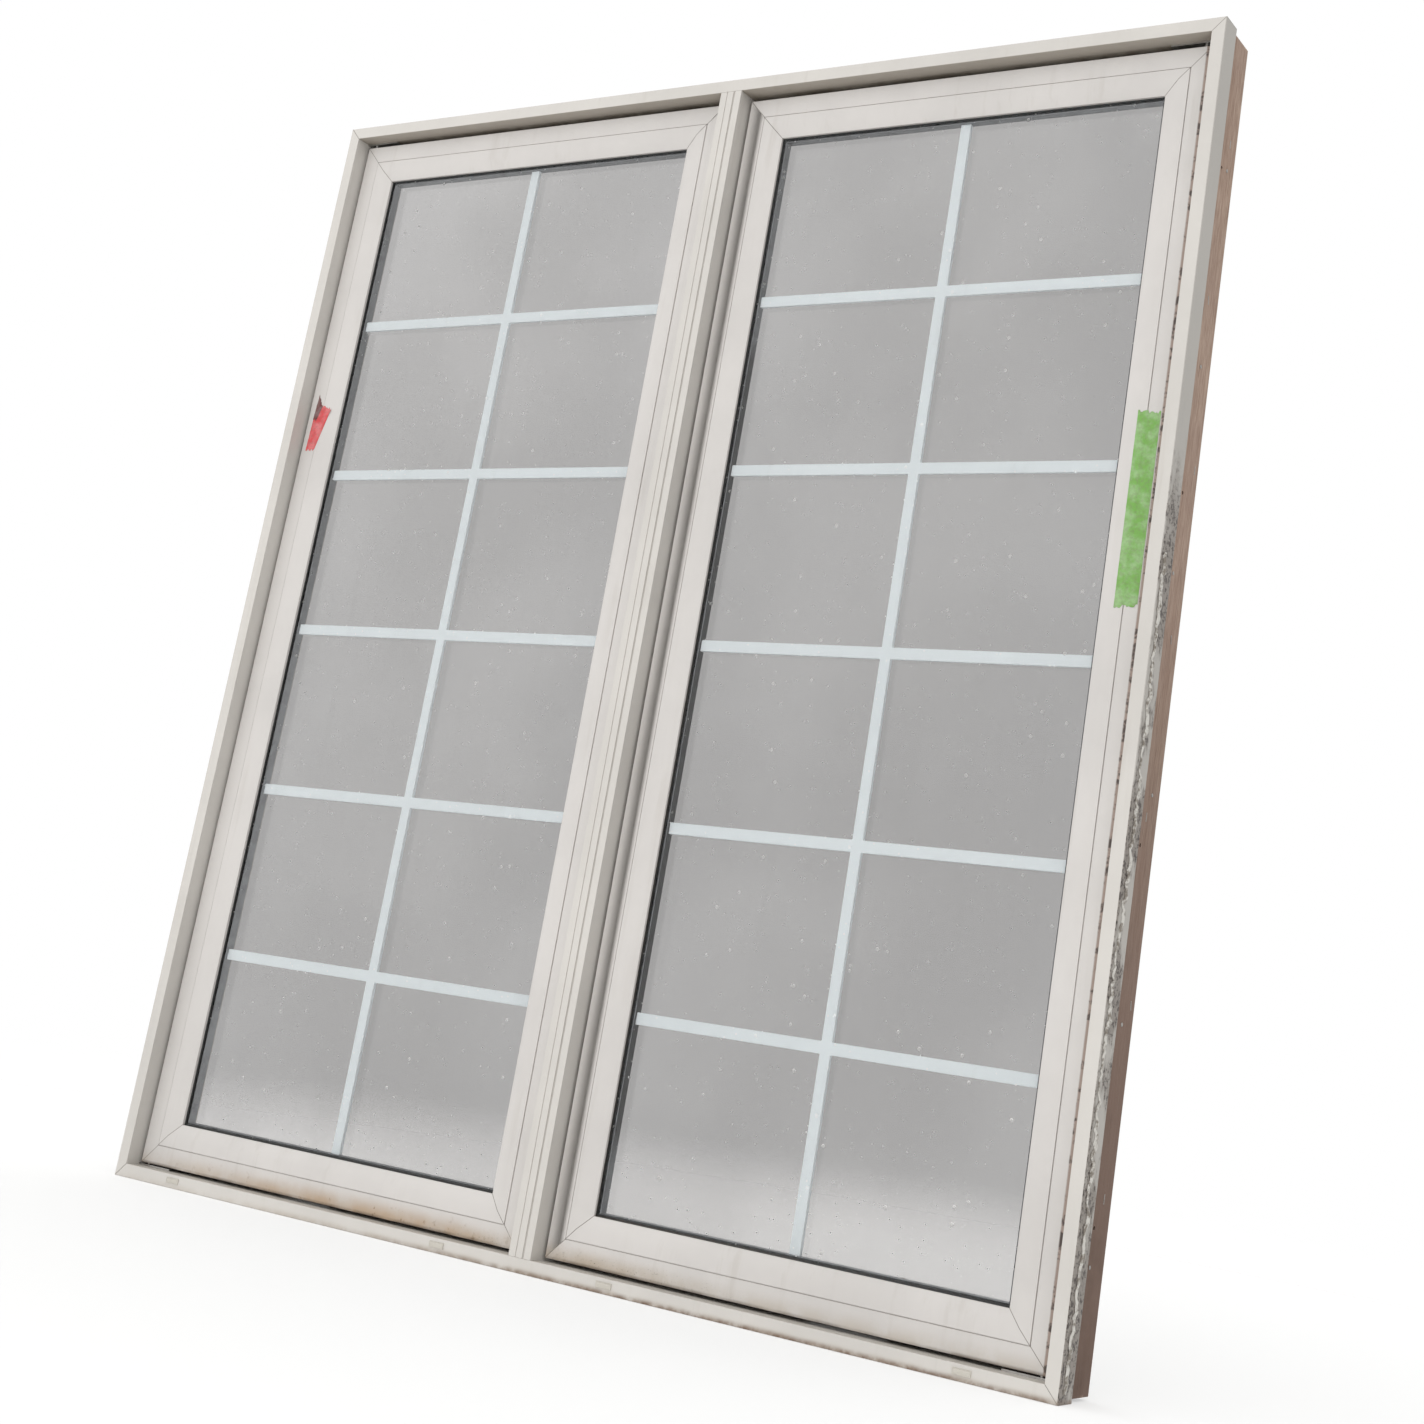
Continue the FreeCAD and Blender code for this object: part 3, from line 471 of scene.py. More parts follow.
# ---------------------------------------------------------------- wood, rubber and glass
def make_wood(name):
    """Weathered pine boards; the upright ones and the level ones have their own grain direction."""
    material, tree, surface = new_material(name)
    place = add(tree, "TexCoord").outputs["Object"]
    parts = add(tree, "SeparateXYZ", {0: place}).outputs
    upright = add(tree, "Mapping", {"Vector": place, "Scale": (1.2, 1.2, 0.05)}).outputs[0]
    level = add(tree, "Mapping", {"Vector": place, "Scale": (0.05, 1.2, 1.2)}).outputs[0]
    aside = figure(tree, "ABSOLUTE", parts["X"])
    is_upright = figure(tree, "GREATER_THAN", aside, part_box("wood_jamb_right")[0].x)
    turned = add(tree, "Mix", {0: is_upright, 4: level, 5: upright}, data_type="VECTOR").outputs[1]
    grain = use_group(tree, groups["board"], place=turned, fibre_scale=420)
    crevice = use_group(tree, groups["crevice"], reach=0.012, patch_scale=30)
    edge = use_group(tree, groups["edge"], reach=0.003, patch_scale=40)
    wood = tint(tree, grain["Bands"], tone(160, 136, 119), tone(174, 152, 136))
    wood = tint(tree, stretch(tree, grain["Fibres"], 0.42, 0.66), wood, tone(132, 107, 90))
    # Darker towards the bottom of the boards.
    lower_darkening = stretch(tree, parts["Z"], 1.3, 0.1)
    clouds = stretch(tree, noise(tree, place, 6.0, 5, 0.65), 0.35, 0.6)
    wood = tint(tree, figure(tree, "MULTIPLY", lower_darkening, 0.9), wood, tone(80, 60, 49))
    wood = tint(tree, figure(tree, "MULTIPLY", clouds, 0.35), wood, tone(134, 110, 98))
    wood = tint(tree, figure(tree, "MULTIPLY", edge["Mask"], 0.5), wood, tone(182, 160, 140))
    # Near black where the boards meet other parts: crevice dirt and painted shade.
    wood = tint(tree, figure(tree, "MULTIPLY", crevice["Mask"], 0.85), wood, tone(44, 34, 28))
    tree.links.new(wood, surface.inputs["Base Color"])
    surface.inputs["Roughness"].default_value = 0.82
    height = figure(tree, "ADD", grain["Fibres"], figure(tree, "MULTIPLY", grain["Bands"], 0.4))
    raise_surface(tree, surface, height, 0.0006, 0.7)
    return material


def make_rubber(name, colour, roughness):
    material, tree, surface = new_material(name)
    skin = use_group(tree, groups["skin"], grain_scale=1500)
    dust = use_group(tree, groups["dust"], patch_scale=120)
    worn = tuple([channel * 1.7 for channel in colour[:3]] + [1])
    paint = tint(tree, skin["Tone"], colour, worn)
    paint = tint(tree, figure(tree, "MULTIPLY", dust["Mask"], 0.5), paint, tone(120, 114, 104))
    tree.links.new(paint, surface.inputs["Base Color"])
    gloss = figure(tree, "ADD", roughness, figure(tree, "MULTIPLY", skin["Tone"], 0.15))
    tree.links.new(gloss, surface.inputs["Roughness"])
    raise_surface(tree, surface, skin["Height"], 0.00008, 0.4)
    return material


def make_glass(name):
    """Clear double glazing, its outer face with dried water spots, which glow faintly as painted light, and
    faint runs of dirt.
    """
    material, tree, surface = new_material(name)
    place = add(tree, "TexCoord").outputs["Object"]
    depth = add(tree, "SeparateXYZ", {0: place}).outputs["Y"]
    pane_front, pane_back = (corner.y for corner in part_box("left_outer_pane"))
    front = figure(tree, "LESS_THAN", depth, pane_front + 0.5 * MM)
    outer = figure(tree, "LESS_THAN", depth, pane_back + 1 * MM)
    spots = use_group(tree, groups["spot"], spot_scale=60, spot_size=0.14, share=0.4)
    specks = use_group(tree, groups["spot"], spot_scale=170, spot_size=0.2, share=0.28)
    streaks = use_group(tree, groups["streak"], streak_scale=40)
    both = figure(tree, "MULTIPLY", figure(tree, "MAXIMUM", spots["Mask"], specks["Mask"]), front)
    film = figure(tree, "MULTIPLY", figure(tree, "MULTIPLY", streaks["Mask"], front), 0.25)
    clouds = stretch(tree, noise(tree, place, 2.4, 3, 0.5), 0.35, 0.65)
    inner_glass = tint(tree, clouds, tone(226, 224, 223), tone(240, 238, 237))
    outer_glass = tint(tree, film, tone(255, 255, 255), tone(226, 227, 224))
    glass = tint(tree, outer, inner_glass, outer_glass)
    glass = tint(tree, both, glass, tone(255, 255, 255))
    tree.links.new(glass, surface.inputs["Base Color"])
    tree.links.new(figure(tree, "MULTIPLY", both, 0.4), surface.inputs["Roughness"])
    # Painted light: the spots glow faintly through Emission, so they stay bright in any lighting.
    spot_glow = tint(tree, both, tone(0, 0, 0), tone(96, 96, 93))
    tree.links.new(spot_glow, surface.inputs["Emission Color"])
    surface.inputs["Emission Strength"].default_value = 1
    surface.inputs["Metallic"].default_value = 0
    surface.inputs["Transmission Weight"].default_value = 1
    surface.inputs["IOR"].default_value = 1.45
    height = figure(tree, "MULTIPLY", spots["Height"], front)
    raise_surface(tree, surface, height, 0.0009, 1.0)
    return material


# ---------------------------------------------------------------- metal and moulded plastic
def make_metal(name, colour, roughness, rust=0.2, line_scale=320):
    """Plated steel or cast zinc with rolled lines, handling marks and a little rust in corners."""
    material, tree, surface = new_material(name)
    marks = use_group(tree, groups["brush"], line_scale=line_scale)
    crevice = use_group(tree, groups["crevice"], reach=0.005, patch_scale=80)
    edge = use_group(tree, groups["edge"], reach=0.0012, patch_scale=150)
    dull = tuple([channel * 0.72 for channel in colour[:3]] + [1])
    paint = tint(tree, marks["Marks"], colour, dull)
    bright = tuple([min(1, channel * 1.3) for channel in colour[:3]] + [1])
    paint = tint(tree, figure(tree, "MULTIPLY", edge["Mask"], 0.6), paint, bright)
    rusty = figure(tree, "MULTIPLY", figure(tree, "MULTIPLY", crevice["Mask"], marks["Marks"]), rust * 3)
    rusty = stretch(tree, rusty, 0.1, 0.7)
    paint = tint(tree, rusty, paint, tone(124, 72, 42))
    tree.links.new(paint, surface.inputs["Base Color"])
    tree.links.new(stretch(tree, rusty, 0, 1, 1, 0.1), surface.inputs["Metallic"])
    gloss = figure(tree, "ADD", roughness, figure(tree, "MULTIPLY", marks["Lines"], 0.18))
    tree.links.new(gloss, surface.inputs["Roughness"])
    raise_surface(tree, surface, marks["Lines"], 0.00006, 0.5)
    return material


def make_plastic(name, colour, roughness, dusty=0.4):
    """A moulded plastic or painted cast part that hands touch."""
    material, tree, surface = new_material(name)
    skin = use_group(tree, groups["skin"], grain_scale=1300)
    crevice = use_group(tree, groups["crevice"], reach=0.004, patch_scale=90)
    edge = use_group(tree, groups["edge"], reach=0.0015, patch_scale=120)
    dust = use_group(tree, groups["dust"], patch_scale=110)
    shaded = tuple([channel * 0.92 for channel in colour[:3]] + [1])
    rubbed = tuple([min(1, channel * 1.12) for channel in colour[:3]] + [1])
    paint = tint(tree, skin["Tone"], colour, shaded)
    paint = tint(tree, edge["Mask"], paint, rubbed)
    paint = tint(tree, figure(tree, "MULTIPLY", dust["Mask"], dusty), paint, tone(168, 160, 146))
    # Dark brown where parts meet and shut out light: crevice dirt and painted shade.
    paint = tint(tree, figure(tree, "MULTIPLY", crevice["Mask"], 0.7), paint, tone(92, 82, 68))
    tree.links.new(paint, surface.inputs["Base Color"])
    gloss = figure(tree, "ADD", roughness, figure(tree, "MULTIPLY", dust["Mask"], 0.3))
    tree.links.new(gloss, surface.inputs["Roughness"])
    raise_surface(tree, surface, skin["Height"], 0.0001, 0.5)
    return material


def make_enamel(name, colour):
    """Smooth enamel on bars sealed between the panes, clean but for a little dust on their tops."""
    material, tree, surface = new_material(name)
    skin = use_group(tree, groups["skin"], grain_scale=1300)
    dust = use_group(tree, groups["dust"], patch_scale=110)
    shaded = tuple([channel * 0.96 for channel in colour[:3]] + [1])
    paint = tint(tree, skin["Tone"], colour, shaded)
    paint = tint(tree, figure(tree, "MULTIPLY", dust["Mask"], 0.2), paint, tone(180, 176, 166))
    tree.links.new(paint, surface.inputs["Base Color"])
    gloss = figure(tree, "ADD", 0.38, figure(tree, "MULTIPLY", skin["Tone"], 0.1))
    tree.links.new(gloss, surface.inputs["Roughness"])
    raise_surface(tree, surface, skin["Height"], 0.00005, 0.3)
    return material


def make_tape(name, colour):
    """Thin crepe masking tape, creased across its length."""
    material, tree, surface = new_material(name)
    place = add(tree, "TexCoord").outputs["Object"]
    creased = add(tree, "Mapping", {"Vector": place, "Scale": (0.3, 1, 1)}).outputs[0]
    creases = noise(tree, creased, 900.0, 3, 0.6)
    clouds = stretch(tree, noise(tree, place, 60.0, 4), 0.35, 0.7)
    faded = tuple([channel + (1 - channel) * 0.14 for channel in colour[:3]] + [1])
    paint = tint(tree, clouds, colour, faded)
    edge = use_group(tree, groups["edge"], reach=0.0015, patch_scale=200)
    paint = tint(tree, figure(tree, "MULTIPLY", edge["Mask"], 0.3), paint, tone(120, 110, 96))
    tree.links.new(paint, surface.inputs["Base Color"])
    surface.inputs["Roughness"].default_value = 0.62
    raise_surface(tree, surface, creases, 0.0002, 0.6)
    return material


def make_sealant(name):
    """Old white sealant, chalky and patchy, with dirt and painted shade at its edges."""
    material, tree, surface = new_material(name)
    place = add(tree, "TexCoord").outputs["Object"]
    crevice = use_group(tree, groups["crevice"], reach=0.006, patch_scale=60)
    clouds = stretch(tree, noise(tree, place, 75.0, 6, 0.72), 0.44, 0.6)
    paint = tint(tree, clouds, tone(206, 203, 196), tone(128, 120, 110))
    # Darker where the sealant meets the jamb: crevice dirt and painted shade.
    paint = tint(tree, figure(tree, "MULTIPLY", crevice["Mask"], 0.8), paint, tone(92, 82, 70))
    tree.links.new(paint, surface.inputs["Base Color"])
    surface.inputs["Roughness"].default_value = 0.75
    raise_surface(tree, surface, noise(tree, place, 200.0, 6, 0.75), 0.0016, 1.0)
    return material


def make_groups():
    return {
        "skin": make_skin_group(), "crevice": make_crevice_group(), "edge": make_edge_group(),
        "stain": make_stain_group(), "streak": make_streak_group(), "dust": make_dust_group(),
        "board": make_board_group(), "spot": make_spot_group(), "brush": make_brush_group(),
        "side": make_side_group(), "mitre": make_mitre_group(),
    }


def make_materials():
    zinc = tone(168, 170, 172)
    steel = tone(176, 174, 170)
    white = tone(214, 213, 209)
    return {
        "frame_vinyl": make_frame_vinyl("Frame vinyl"),
        "sash_vinyl": make_sash_vinyl("Sash vinyl"),
        # The bead vinyl is a little darker than the sash vinyl: painted shade for the bead's slope.
        "bead_vinyl": make_trim_vinyl("Bead vinyl", tone(195, 191, 186), 0.38),
        "drain_cover": make_trim_vinyl("Drain cover vinyl", tone(192, 187, 177), 0.5),
        "jamb_wood": make_wood("Jamb wood"),
        "seal_rubber": make_rubber("Seal rubber", tone(84, 74, 62), 0.7),
        "gasket_rubber": make_rubber("Gasket rubber", tone(32, 34, 34), 0.5),
        "glass": make_glass("Glass"),
        "spacer_metal": make_metal("Spacer aluminium", tone(150, 154, 158), 0.34, 0.0, 700),
        "grille_white": make_enamel("Grille enamel", tone(242, 250, 252)),
        "hinge_steel": make_metal("Hinge steel", steel, 0.34, 0.5),
        "bush_plastic": make_plastic("Bush nylon", tone(70, 68, 64), 0.45),
        "track_steel": make_metal("Track steel", steel, 0.3, 0.45),
        "keeper_steel": make_metal("Keeper steel", zinc, 0.36, 0.4),
        "operator_zinc": make_metal("Operator zinc", zinc, 0.45, 0.25, 900),
        "cover_plastic": make_plastic("Cover plastic", white, 0.42),
        "arm_steel": make_metal("Arm steel", steel, 0.32, 0.4),
        "spindle_steel": make_metal("Spindle steel", tone(150, 148, 144), 0.3, 0.3),
        "handle_white": make_plastic("Handle enamel", white, 0.34),
        "knob_plastic": make_plastic("Knob plastic", tone(206, 204, 198), 0.4),
        "lock_case_white": make_plastic("Lock case enamel", white, 0.36),
        "lever_white": make_plastic("Lever enamel", white, 0.34),
        "tie_steel": make_metal("Tie bar steel", zinc, 0.32, 0.3),
        "green_tape": make_tape("Green tape", tone(110, 162, 72)),
        "red_tape": make_tape("Red tape", tone(201, 61, 66)),
        "folded_tape": make_tape("Folded tape", tone(92, 24, 28)),
        "old_sealant": make_sealant("Old sealant"),
    }


# ---------------------------------------------------------------- modelling helpers
def pick(*pieces):
    """Select just these pieces, the last one active."""
    bpy.ops.object.select_all(action="DESELECT")
    for piece in pieces:
        piece.select_set(True)
    bpy.context.view_layer.objects.active = pieces[-1]


def select_faces(piece, wanted):
    """Open the piece for editing with just the wanted faces selected."""
    pick(piece)
    bpy.ops.object.mode_set(mode="EDIT")
    bpy.ops.mesh.select_mode(type="FACE")
    bpy.ops.mesh.select_all(action="DESELECT")
    bpy.ops.object.mode_set(mode="OBJECT")
    for face in piece.data.polygons:
        face.select = wanted(face.center, face.normal)
    bpy.ops.object.mode_set(mode="EDIT")


def close_edit():
    bpy.ops.object.mode_set(mode="OBJECT")


def new_block(name, low, high):
    """A box between two corners, its place in its mesh, to be shaped further."""
    low, high = Vector(low), Vector(high)
    bpy.ops.object.select_all(action="DESELECT")
    bpy.ops.mesh.primitive_cube_add(size=1, location=(low + high) / 2, scale=high - low)
    piece = bpy.context.object
    piece.name = name
    bpy.ops.object.transform_apply(location=True, rotation=True, scale=True)
    return piece


def merged_copy(node, name):
    """A CAD node's shape as a new piece, its doubles merged and its flat faces whole."""
    piece = bpy.data.objects.new(name, frame["nodes"][node].data.copy())
    bpy.context.scene.collection.objects.link(piece)
    pick(piece)
    bpy.ops.mesh.customdata_custom_splitnormals_clear()
    bpy.ops.object.mode_set(mode="EDIT")
    bpy.ops.mesh.select_all(action="SELECT")
    bpy.ops.mesh.remove_doubles(threshold=0.00001)
    bpy.ops.mesh.dissolve_limited(angle_limit=math.radians(1))
    bpy.ops.object.mode_set(mode="OBJECT")
    return piece


def round_edges(piece, width, rings=2, angle=30):
    """Round the piece's sharp edges and keep its flat faces flat."""
    pick(piece)
    bpy.ops.object.shade_smooth()
    bevel = piece.modifiers.new("Rounded edges", "BEVEL")
    bevel.width = width
    bevel.segments = rings
    bevel.limit_method = "ANGLE"
    bevel.angle_limit = math.radians(angle)
    bevel.miter_outer = "MITER_ARC"
    bevel.harden_normals = True
    bpy.ops.object.modifier_apply(modifier=bevel.name)


def finish_piece(piece, body, slot, *nodes, material=None):
    """Give a piece its material and its body, and hide the CAD nodes that it stands for."""
    piece.data.materials.clear()
    piece.data.materials.append(materials[material or slot])
    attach(piece, body)
    if nodes:
        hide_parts(*nodes)


def repeat(source, name, place, turn=(0, 0, 0)):
    """A copy of a piece modelled at the origin, turned and moved to its place."""
    copy = source.copy()
    copy.data = source.data.copy()
    copy.name = name
    bpy.context.scene.collection.objects.link(copy)
    copy.location = place
    copy.rotation_euler = [math.radians(angle) for angle in turn]
    pick(copy)
    bpy.ops.object.transform_apply(location=True, rotation=True, scale=True)
    return copy


def join(name, pieces):
    pick(*pieces)
    bpy.ops.object.join()
    whole = bpy.context.object
    whole.name = name
    return whole


# ---------------------------------------------------------------- profiles and hardware from the CAD shapes
ROUNDS = {
    "frame_head": (0.8, 2), "frame_sill": (0.8, 2), "frame_jamb_left": (0.8, 2),
    "frame_jamb_right": (0.8, 2),
    "wood_head": (1.2, 2), "wood_sill": (1.2, 2), "wood_jamb_left": (1.2, 2), "wood_jamb_right": (1.2, 2),
}
SIDE_ROUNDS = {
    "weatherstrip": (1.4, 3), "rail_top": (0.5, 2), "rail_bottom": (0.5, 2), "stile_hinge": (0.5, 2),
    "stile_lock": (0.5, 2), "spacer": (0.8, 2), "gasket": (0.4, 2), "glazing_beads": (1.0, 3),
    "grille": (0.9, 2), "hinge_plates": (0.3, 1), "track": (0.4, 2), "keepers": (0.4, 2),
    "operator_base": (0.8, 2), "operator_cover": (2.6, 4), "operator_arm": (0.5, 2),
    "crank_handle": (1.6, 4), "crank_knob": (1.6, 4), "crank_spindle": (0.5, 2),
    "lock_case": (2.2, 4), "lock_lever": (1.5, 4), "tie_bar": (0.4, 2),
}


def finish_node(node, width, rings):
    piece = merged_copy(node, node + ".finished")
    round_edges(piece, width * MM, rings)
    finish_piece(piece, body_of[node], slot_of[node], node)


def cut_grooves(piece, lines, width, depth):
    """Run fine grooves down the outside face of an upright, one for each line across it."""
    for line in lines:
        for edge in (line - width / 2, line + width / 2):
            select_faces(piece, lambda middle, normal: normal.y < -0.9 and middle.y < OUTSIDE + 1 * MM)
            bpy.ops.mesh.bisect(plane_co=(edge, 0, 0), plane_no=(1, 0, 0))
            close_edit()
        select_faces(piece, lambda middle, normal: normal.y < -0.9 and middle.y < OUTSIDE + 1 * MM
                     and abs(middle.x - line) < width / 4)
        bpy.ops.mesh.extrude_region_move(TRANSFORM_OT_translate={"value": (0, depth, 0)})
        close_edit()


def finish_mullion():
    """The mullion, with two fine grooves down its outside face."""
    piece = merged_copy("mullion", "mullion.finished")
    cut_grooves(piece, (-7 * MM, 7 * MM), 1.4 * MM, 1.0 * MM)
    round_edges(piece, 0.4 * MM)
    finish_piece(piece, body_of["mullion"], slot_of["mullion"], "mullion")


def finish_nodes():
    for node, (width, rings) in ROUNDS.items():
        finish_node(node, width, rings)
    for side, _ in SIDES:
        for node, (width, rings) in SIDE_ROUNDS.items():
            finish_node(f"{side}_{node}", width, rings)


def dress_cad_nodes():
    """Give every CAD node the material of its slot."""
    for node, item in frame["nodes"].items():
        for holder in item.material_slots:
            holder.material = materials[slot_of[node]]


# ---------------------------------------------------------------- drain covers
def middles_across(node):
    """The middle of each separate part of a CAD node, from left to right."""
    marks = sorted(point.co.x for point in frame["nodes"][node].data.vertices)
    parts = [[marks[0]]]
    for mark in marks[1:]:
        if mark - parts[-1][-1] > 40 * MM:
            parts.append([])
        parts[-1].append(mark)
    return [(part[0] + part[-1]) / 2 for part in parts]


def make_drain_covers():
    """Four small hooded covers over the drain slots in the sill's face."""
    low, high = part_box("weep_covers")
    half, tall = 13 * MM, high.z - low.z
    hood = new_block("Drain hood", (-half, low.y, 0), (half, high.y + 0.4 * MM, tall))
    select_faces(hood, lambda middle, normal: normal.y < -0.9)
    bpy.ops.mesh.inset(thickness=1.3 * MM)
    bpy.ops.transform.translate(value=(0, 0.7 * MM, -0.4 * MM))
    bpy.ops.mesh.inset(thickness=1.1 * MM)
    bpy.ops.transform.translate(value=(0, -0.5 * MM, 0))
    close_edit()
    round_edges(hood, 0.35 * MM, 2)
    covers = [repeat(hood, "Drain cover", (x, 0, low.z)) for x in middles_across("weep_covers")]
    whole = join("drain_covers", covers)
    bpy.data.objects.remove(hood)
    finish_piece(whole, "frame_body", "drain_cover", "weep_covers")


# ---------------------------------------------------------------- screws and nails
def make_screw():
    """A pan head screw, its crossed recess cut in, facing the room."""
    radius, height = 3.3 * MM, 2.2 * MM
    recess, blade = 1.9 * MM, 0.45 * MM
    bpy.ops.object.select_all(action="DESELECT")
    bpy.ops.mesh.primitive_cylinder_add(vertices=20, radius=radius, depth=height,
                                        rotation=(math.pi / 2, 0, 0))
    head = bpy.context.object
    bpy.ops.object.transform_apply(location=True, rotation=True, scale=True)
    round_edges(head, 1.0 * MM, 3)
    long_bar = new_block("Recess", (-recess, 0.1 * MM, -blade), (recess, 2 * MM, blade))
    for turn in (0, 90):
        cutter = repeat(long_bar, "Recess bar", (0, 0, 0), (0, turn, 0))
        cutting = head.modifiers.new("Recess", "BOOLEAN")
        cutting.object = cutter
        pick(head)
        bpy.ops.object.modifier_apply(modifier=cutting.name)
        bpy.data.objects.remove(cutter)
    bpy.data.objects.remove(long_bar)
    return head


def place_lock_screws(screw, side):
    """Two screws that hold a lock case to the mullion."""
    low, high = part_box(f"{side}_lock_case")
    centre = (low.x + high.x) / 2
    from_end = 9 * MM
    heads = []
    for i, height in enumerate((low.z + from_end, high.z - from_end)):
        place = (centre, high.y + 0.2 * MM, height)
        heads.append(repeat(screw, f"{side}_lock_screw_{i}", place, (0, 20 * i + 12, 0)))
    whole = join(f"{side}_lock_screws", heads)
    finish_piece(whole, "frame_body", "keeper_steel")


def place_keeper_screws(screw, side, way):
    """Two screws through the plate of each keeper, into the sash edge."""
    low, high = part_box(f"{side}_keepers")
    near_end, far_end = 6 * MM, 24 * MM
    face = low.x if way < 0 else high.x
    heads = []
    for i, height in enumerate((low.z + near_end, low.z + far_end, high.z - far_end, high.z - near_end)):
        place = (face - way * 2.1 * MM, low.y + 8 * MM, height)
        heads.append(repeat(screw, f"{side}_keeper_screw_{i}", place, (0, 0, 90 * way)))
    whole = join(f"{side}_keeper_screws", heads)
    finish_piece(whole, f"{side}_sash_body", "keeper_steel")


def place_screws():
    """Screws in the lock cases and the keepers."""
    screw = make_screw()
    for side, way in SIDES:
        place_lock_screws(screw, side)
        place_keeper_screws(screw, side, way)
    bpy.data.objects.remove(screw)


def make_nails():
    """Nail heads and staples in the outer side of the right wood board."""
    low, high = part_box("wood_jamb_right")
    bpy.ops.object.select_all(action="DESELECT")
    bpy.ops.mesh.primitive_cylinder_add(vertices=16, radius=2.6 * MM, depth=1.6 * MM,
                                        rotation=(0, math.pi / 2, 0))
    nail = bpy.context.object
    bpy.ops.object.transform_apply(location=True, rotation=True, scale=True)
    round_edges(nail, 0.5 * MM, 2)
    staple = new_block("Staple", (-0.5 * MM, -0.7 * MM, -6 * MM), (0.7 * MM, 0.7 * MM, 6 * MM))
    round_edges(staple, 0.4 * MM, 2)
    nail_count, nail_step = 6, 0.29
    staple_count, staple_step = 7, 0.235
    heads = []
    for i in range(nail_count):
        height = low.z + 0.15 + nail_step * i
        depth = low.y + (14 + 9 * (i % 3)) * MM
        heads.append(repeat(nail, f"Nail {i}", (high.x + 0.1 * MM, depth, height)))
    for i in range(staple_count):
        height = low.z + 0.23 + staple_step * i
        depth = low.y + (22 + 11 * ((i + 1) % 3)) * MM
        heads.append(repeat(staple, f"Staple {i}", (high.x, depth, height), (12 * (i % 2), 0, 0)))
    whole = join("board_nails", heads)
    bpy.data.objects.remove(nail)
    bpy.data.objects.remove(staple)
    finish_piece(whole, "frame_body", "hinge_steel")


# ---------------------------------------------------------------- tape and sealant
SASH_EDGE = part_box("right_stile_hinge")[1].x
SASH_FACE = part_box("frame_head")[0].y + 24 * MM
BAND_START = 28.5 * MM
BAND_SLOPE = 2.2 * MM
BAND_RISE = 0.8 * MM
TAPE_THICKNESS = 0.15 * MM


def lay_tape_point(across, up, corners, tear, lift):
    """Where a point of a tape comes to lie on the sash; a torn end wanders by the given amount."""
    lower_left, lower_right, upper_left, upper_right = (Vector(corner) for corner in corners)
    low_side = lower_left.lerp(lower_right, across)
    high_side = upper_left.lerp(upper_right, across)
    spot = low_side.lerp(high_side, up)
    spot.y += tear
    inward = SASH_EDGE - abs(spot.x)
    rise = BAND_RISE * min(1, max(0, (inward - BAND_START) / BAND_SLOPE))
    crease = 0.25 * MM * math.sin(spot.y * 190 + inward * 120) ** 8
    return spot.x, SASH_FACE - 0.22 * MM - lift - rise - crease, spot.y


def stick_tape(name, body, corners, cuts, material, lift=0.0):
    """A thin strip of tape that follows the sash face and its raised band."""
    bpy.ops.object.select_all(action="DESELECT")
    bpy.ops.mesh.primitive_grid_add(x_subdivisions=cuts[0], y_subdivisions=cuts[1], size=1,
                                    rotation=(math.pi / 2, 0, 0))
    tape = bpy.context.object
    tape.name = name
    bpy.ops.object.transform_apply(location=True, rotation=True, scale=True)
    chance = random.Random(4)
    for point in tape.data.vertices:
        across, up = point.co.x + 0.5, point.co.z + 0.5
        at_end = up < 0.001 or up > 0.999
        tear = (chance.random() - 0.5) * 5 * MM if at_end else 0
        point.co = lay_tape_point(across, up, corners, tear, lift)
    sheet = tape.modifiers.new("Thickness", "SOLIDIFY")
    sheet.thickness = TAPE_THICKNESS
    sheet.offset = 0
    pick(tape)
    bpy.ops.object.modifier_apply(modifier=sheet.name)
    bpy.ops.object.shade_smooth_by_angle(angle=math.radians(35))
    finish_piece(tape, body, "sash_vinyl", material=material)


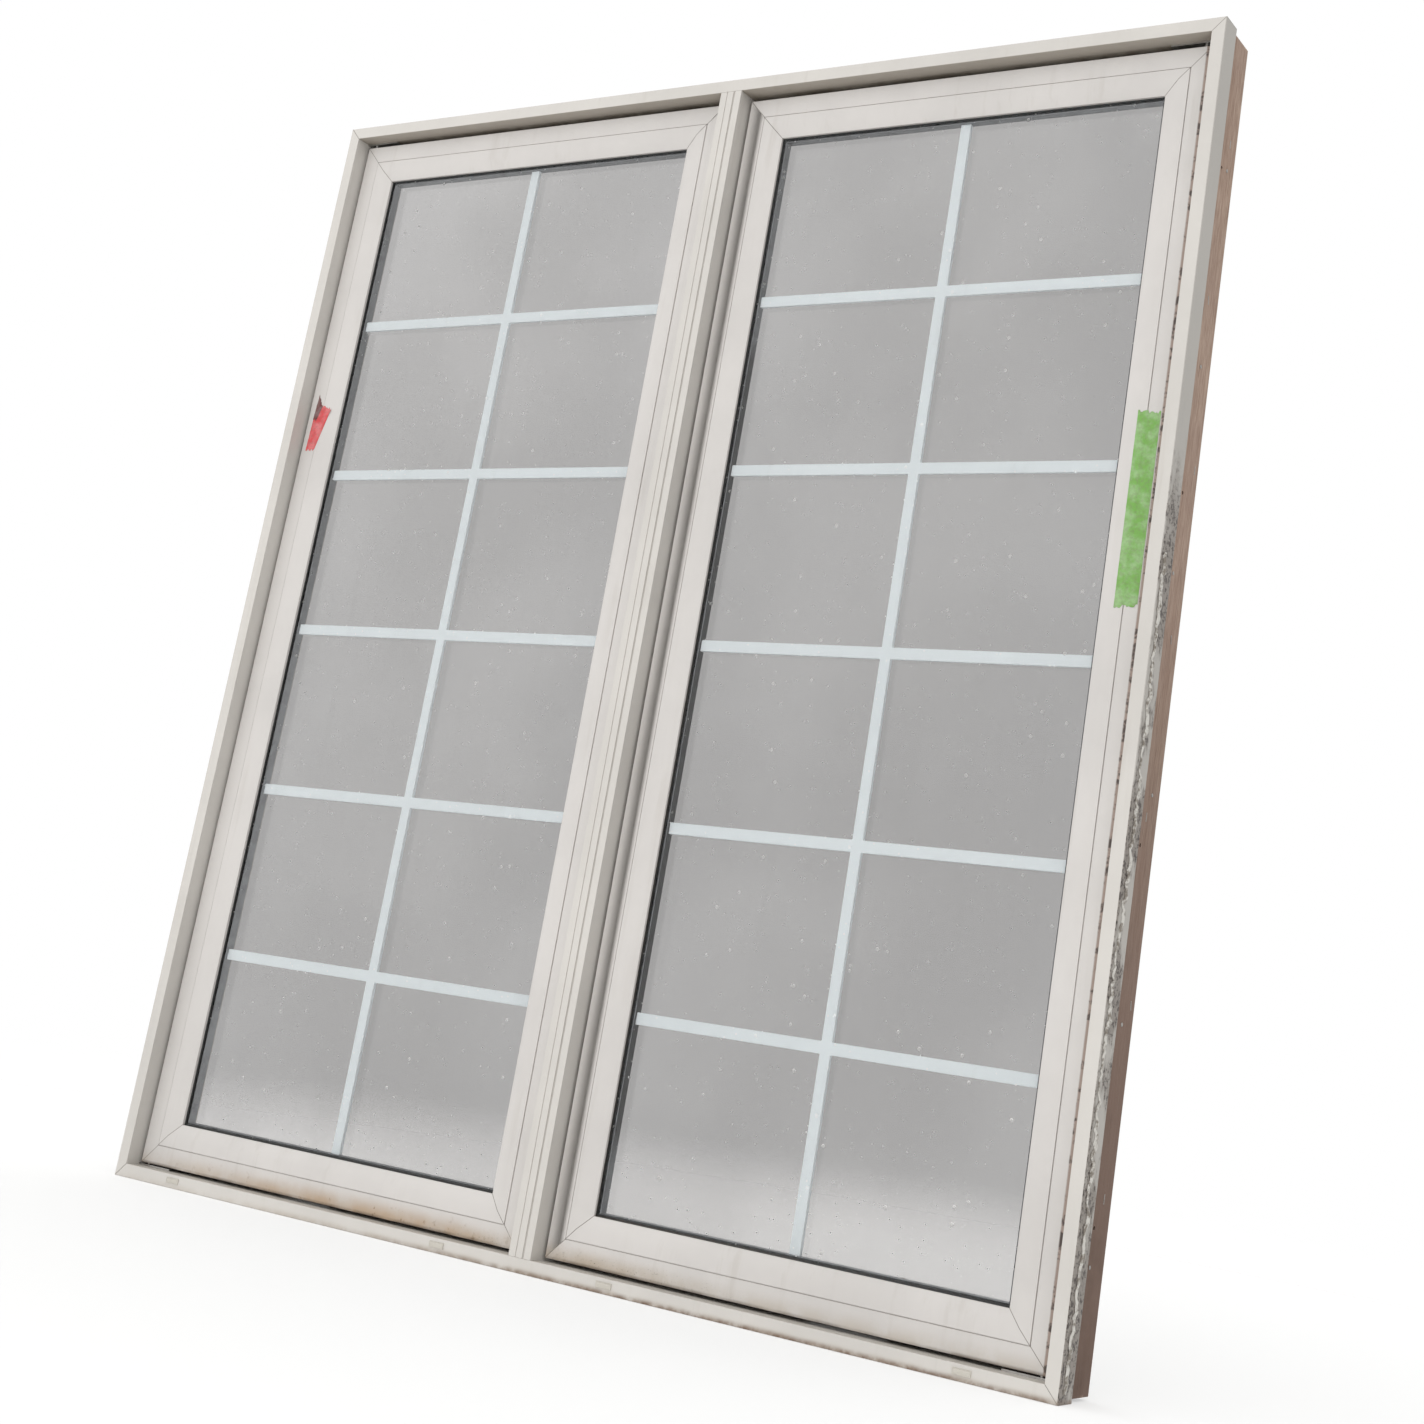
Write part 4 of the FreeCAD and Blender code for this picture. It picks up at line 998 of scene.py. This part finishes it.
def make_tapes():
    """A green strip on the right sash, and a red scrap with a folded corner on the left one."""
    edge = SASH_EDGE
    left, right = edge - 43 * MM, edge - 10 * MM
    green = ((left, 0.970), (right, 0.972), (left, 1.240), (right, 1.237))
    red = ((-edge + 9.3 * MM, 1.210), (-edge + 29.7 * MM, 1.209),
           (-edge + 12.6 * MM, 1.292), (-edge + 49.8 * MM, 1.283))
    fold = ((-edge + 11.2 * MM, 1.266), (-edge + 19.5 * MM, 1.264),
            (-edge + 14.5 * MM, 1.308), (-edge + 27 * MM, 1.287))
    stick_tape("green_tape", "right_sash_body", green, (16, 90), "green_tape")
    stick_tape("red_tape", "left_sash_body", red, (24, 36), "red_tape")
    stick_tape("red_tape_fold", "left_sash_body", fold, (16, 24), "folded_tape", 0.35 * MM)


def make_sealant_ribbon():
    """A ragged, half peeled bead of sealant down the outer side of the right jamb."""
    rows = 190
    low_z, high_z = 0.012, 1.04
    bpy.ops.object.select_all(action="DESELECT")
    bpy.ops.mesh.primitive_grid_add(x_subdivisions=5, y_subdivisions=rows, size=1,
                                    rotation=(math.pi / 2, 0, math.pi / 2))
    ribbon = bpy.context.object
    ribbon.name = "sealant_bead"
    bpy.ops.object.transform_apply(location=True, rotation=True, scale=True)
    chance = random.Random(11)
    wander = [chance.random() for _ in range(rows + 2)]
    side = HIGH.x
    for point in ribbon.data.vertices:
        up = point.co.z + 0.5
        across = point.co.y + 0.5
        row = min(rows, int(up * rows))
        height = low_z + (high_z - low_z) * up
        front = OUTSIDE + (6 + 4 * math.sin(height * 11) + 7 * wander[row]) * MM
        width = (3 + 4 * math.sin(height * 23 + 1) ** 2 + 7 * wander[row + 1] ** 2) * MM
        swell = 0.4 + 1.2 * math.sin(height * 17) ** 2 + 1.1 * wander[row]
        lift = swell * math.sin(across * math.pi) * MM
        point.co = (side + lift + 0.1 * MM, front + width * across, height)
    sheet = ribbon.modifiers.new("Thickness", "SOLIDIFY")
    sheet.thickness = 1.0 * MM
    sheet.offset = 0
    pick(ribbon)
    bpy.ops.object.modifier_apply(modifier=sheet.name)
    bpy.ops.object.shade_smooth_by_angle(angle=math.radians(60))
    finish_piece(ribbon, "frame_body", "frame_vinyl", material="old_sealant")


# ---------------------------------------------------------------- the whole window
bpy.context.scene.view_settings.view_transform = "Standard"
set_camera()
set_sky()
make_floor()
groups = make_groups()
materials.update(make_materials())
dress_cad_nodes()
finish_nodes()
finish_mullion()
make_drain_covers()
place_screws()
make_nails()
make_tapes()
make_sealant_ribbon()
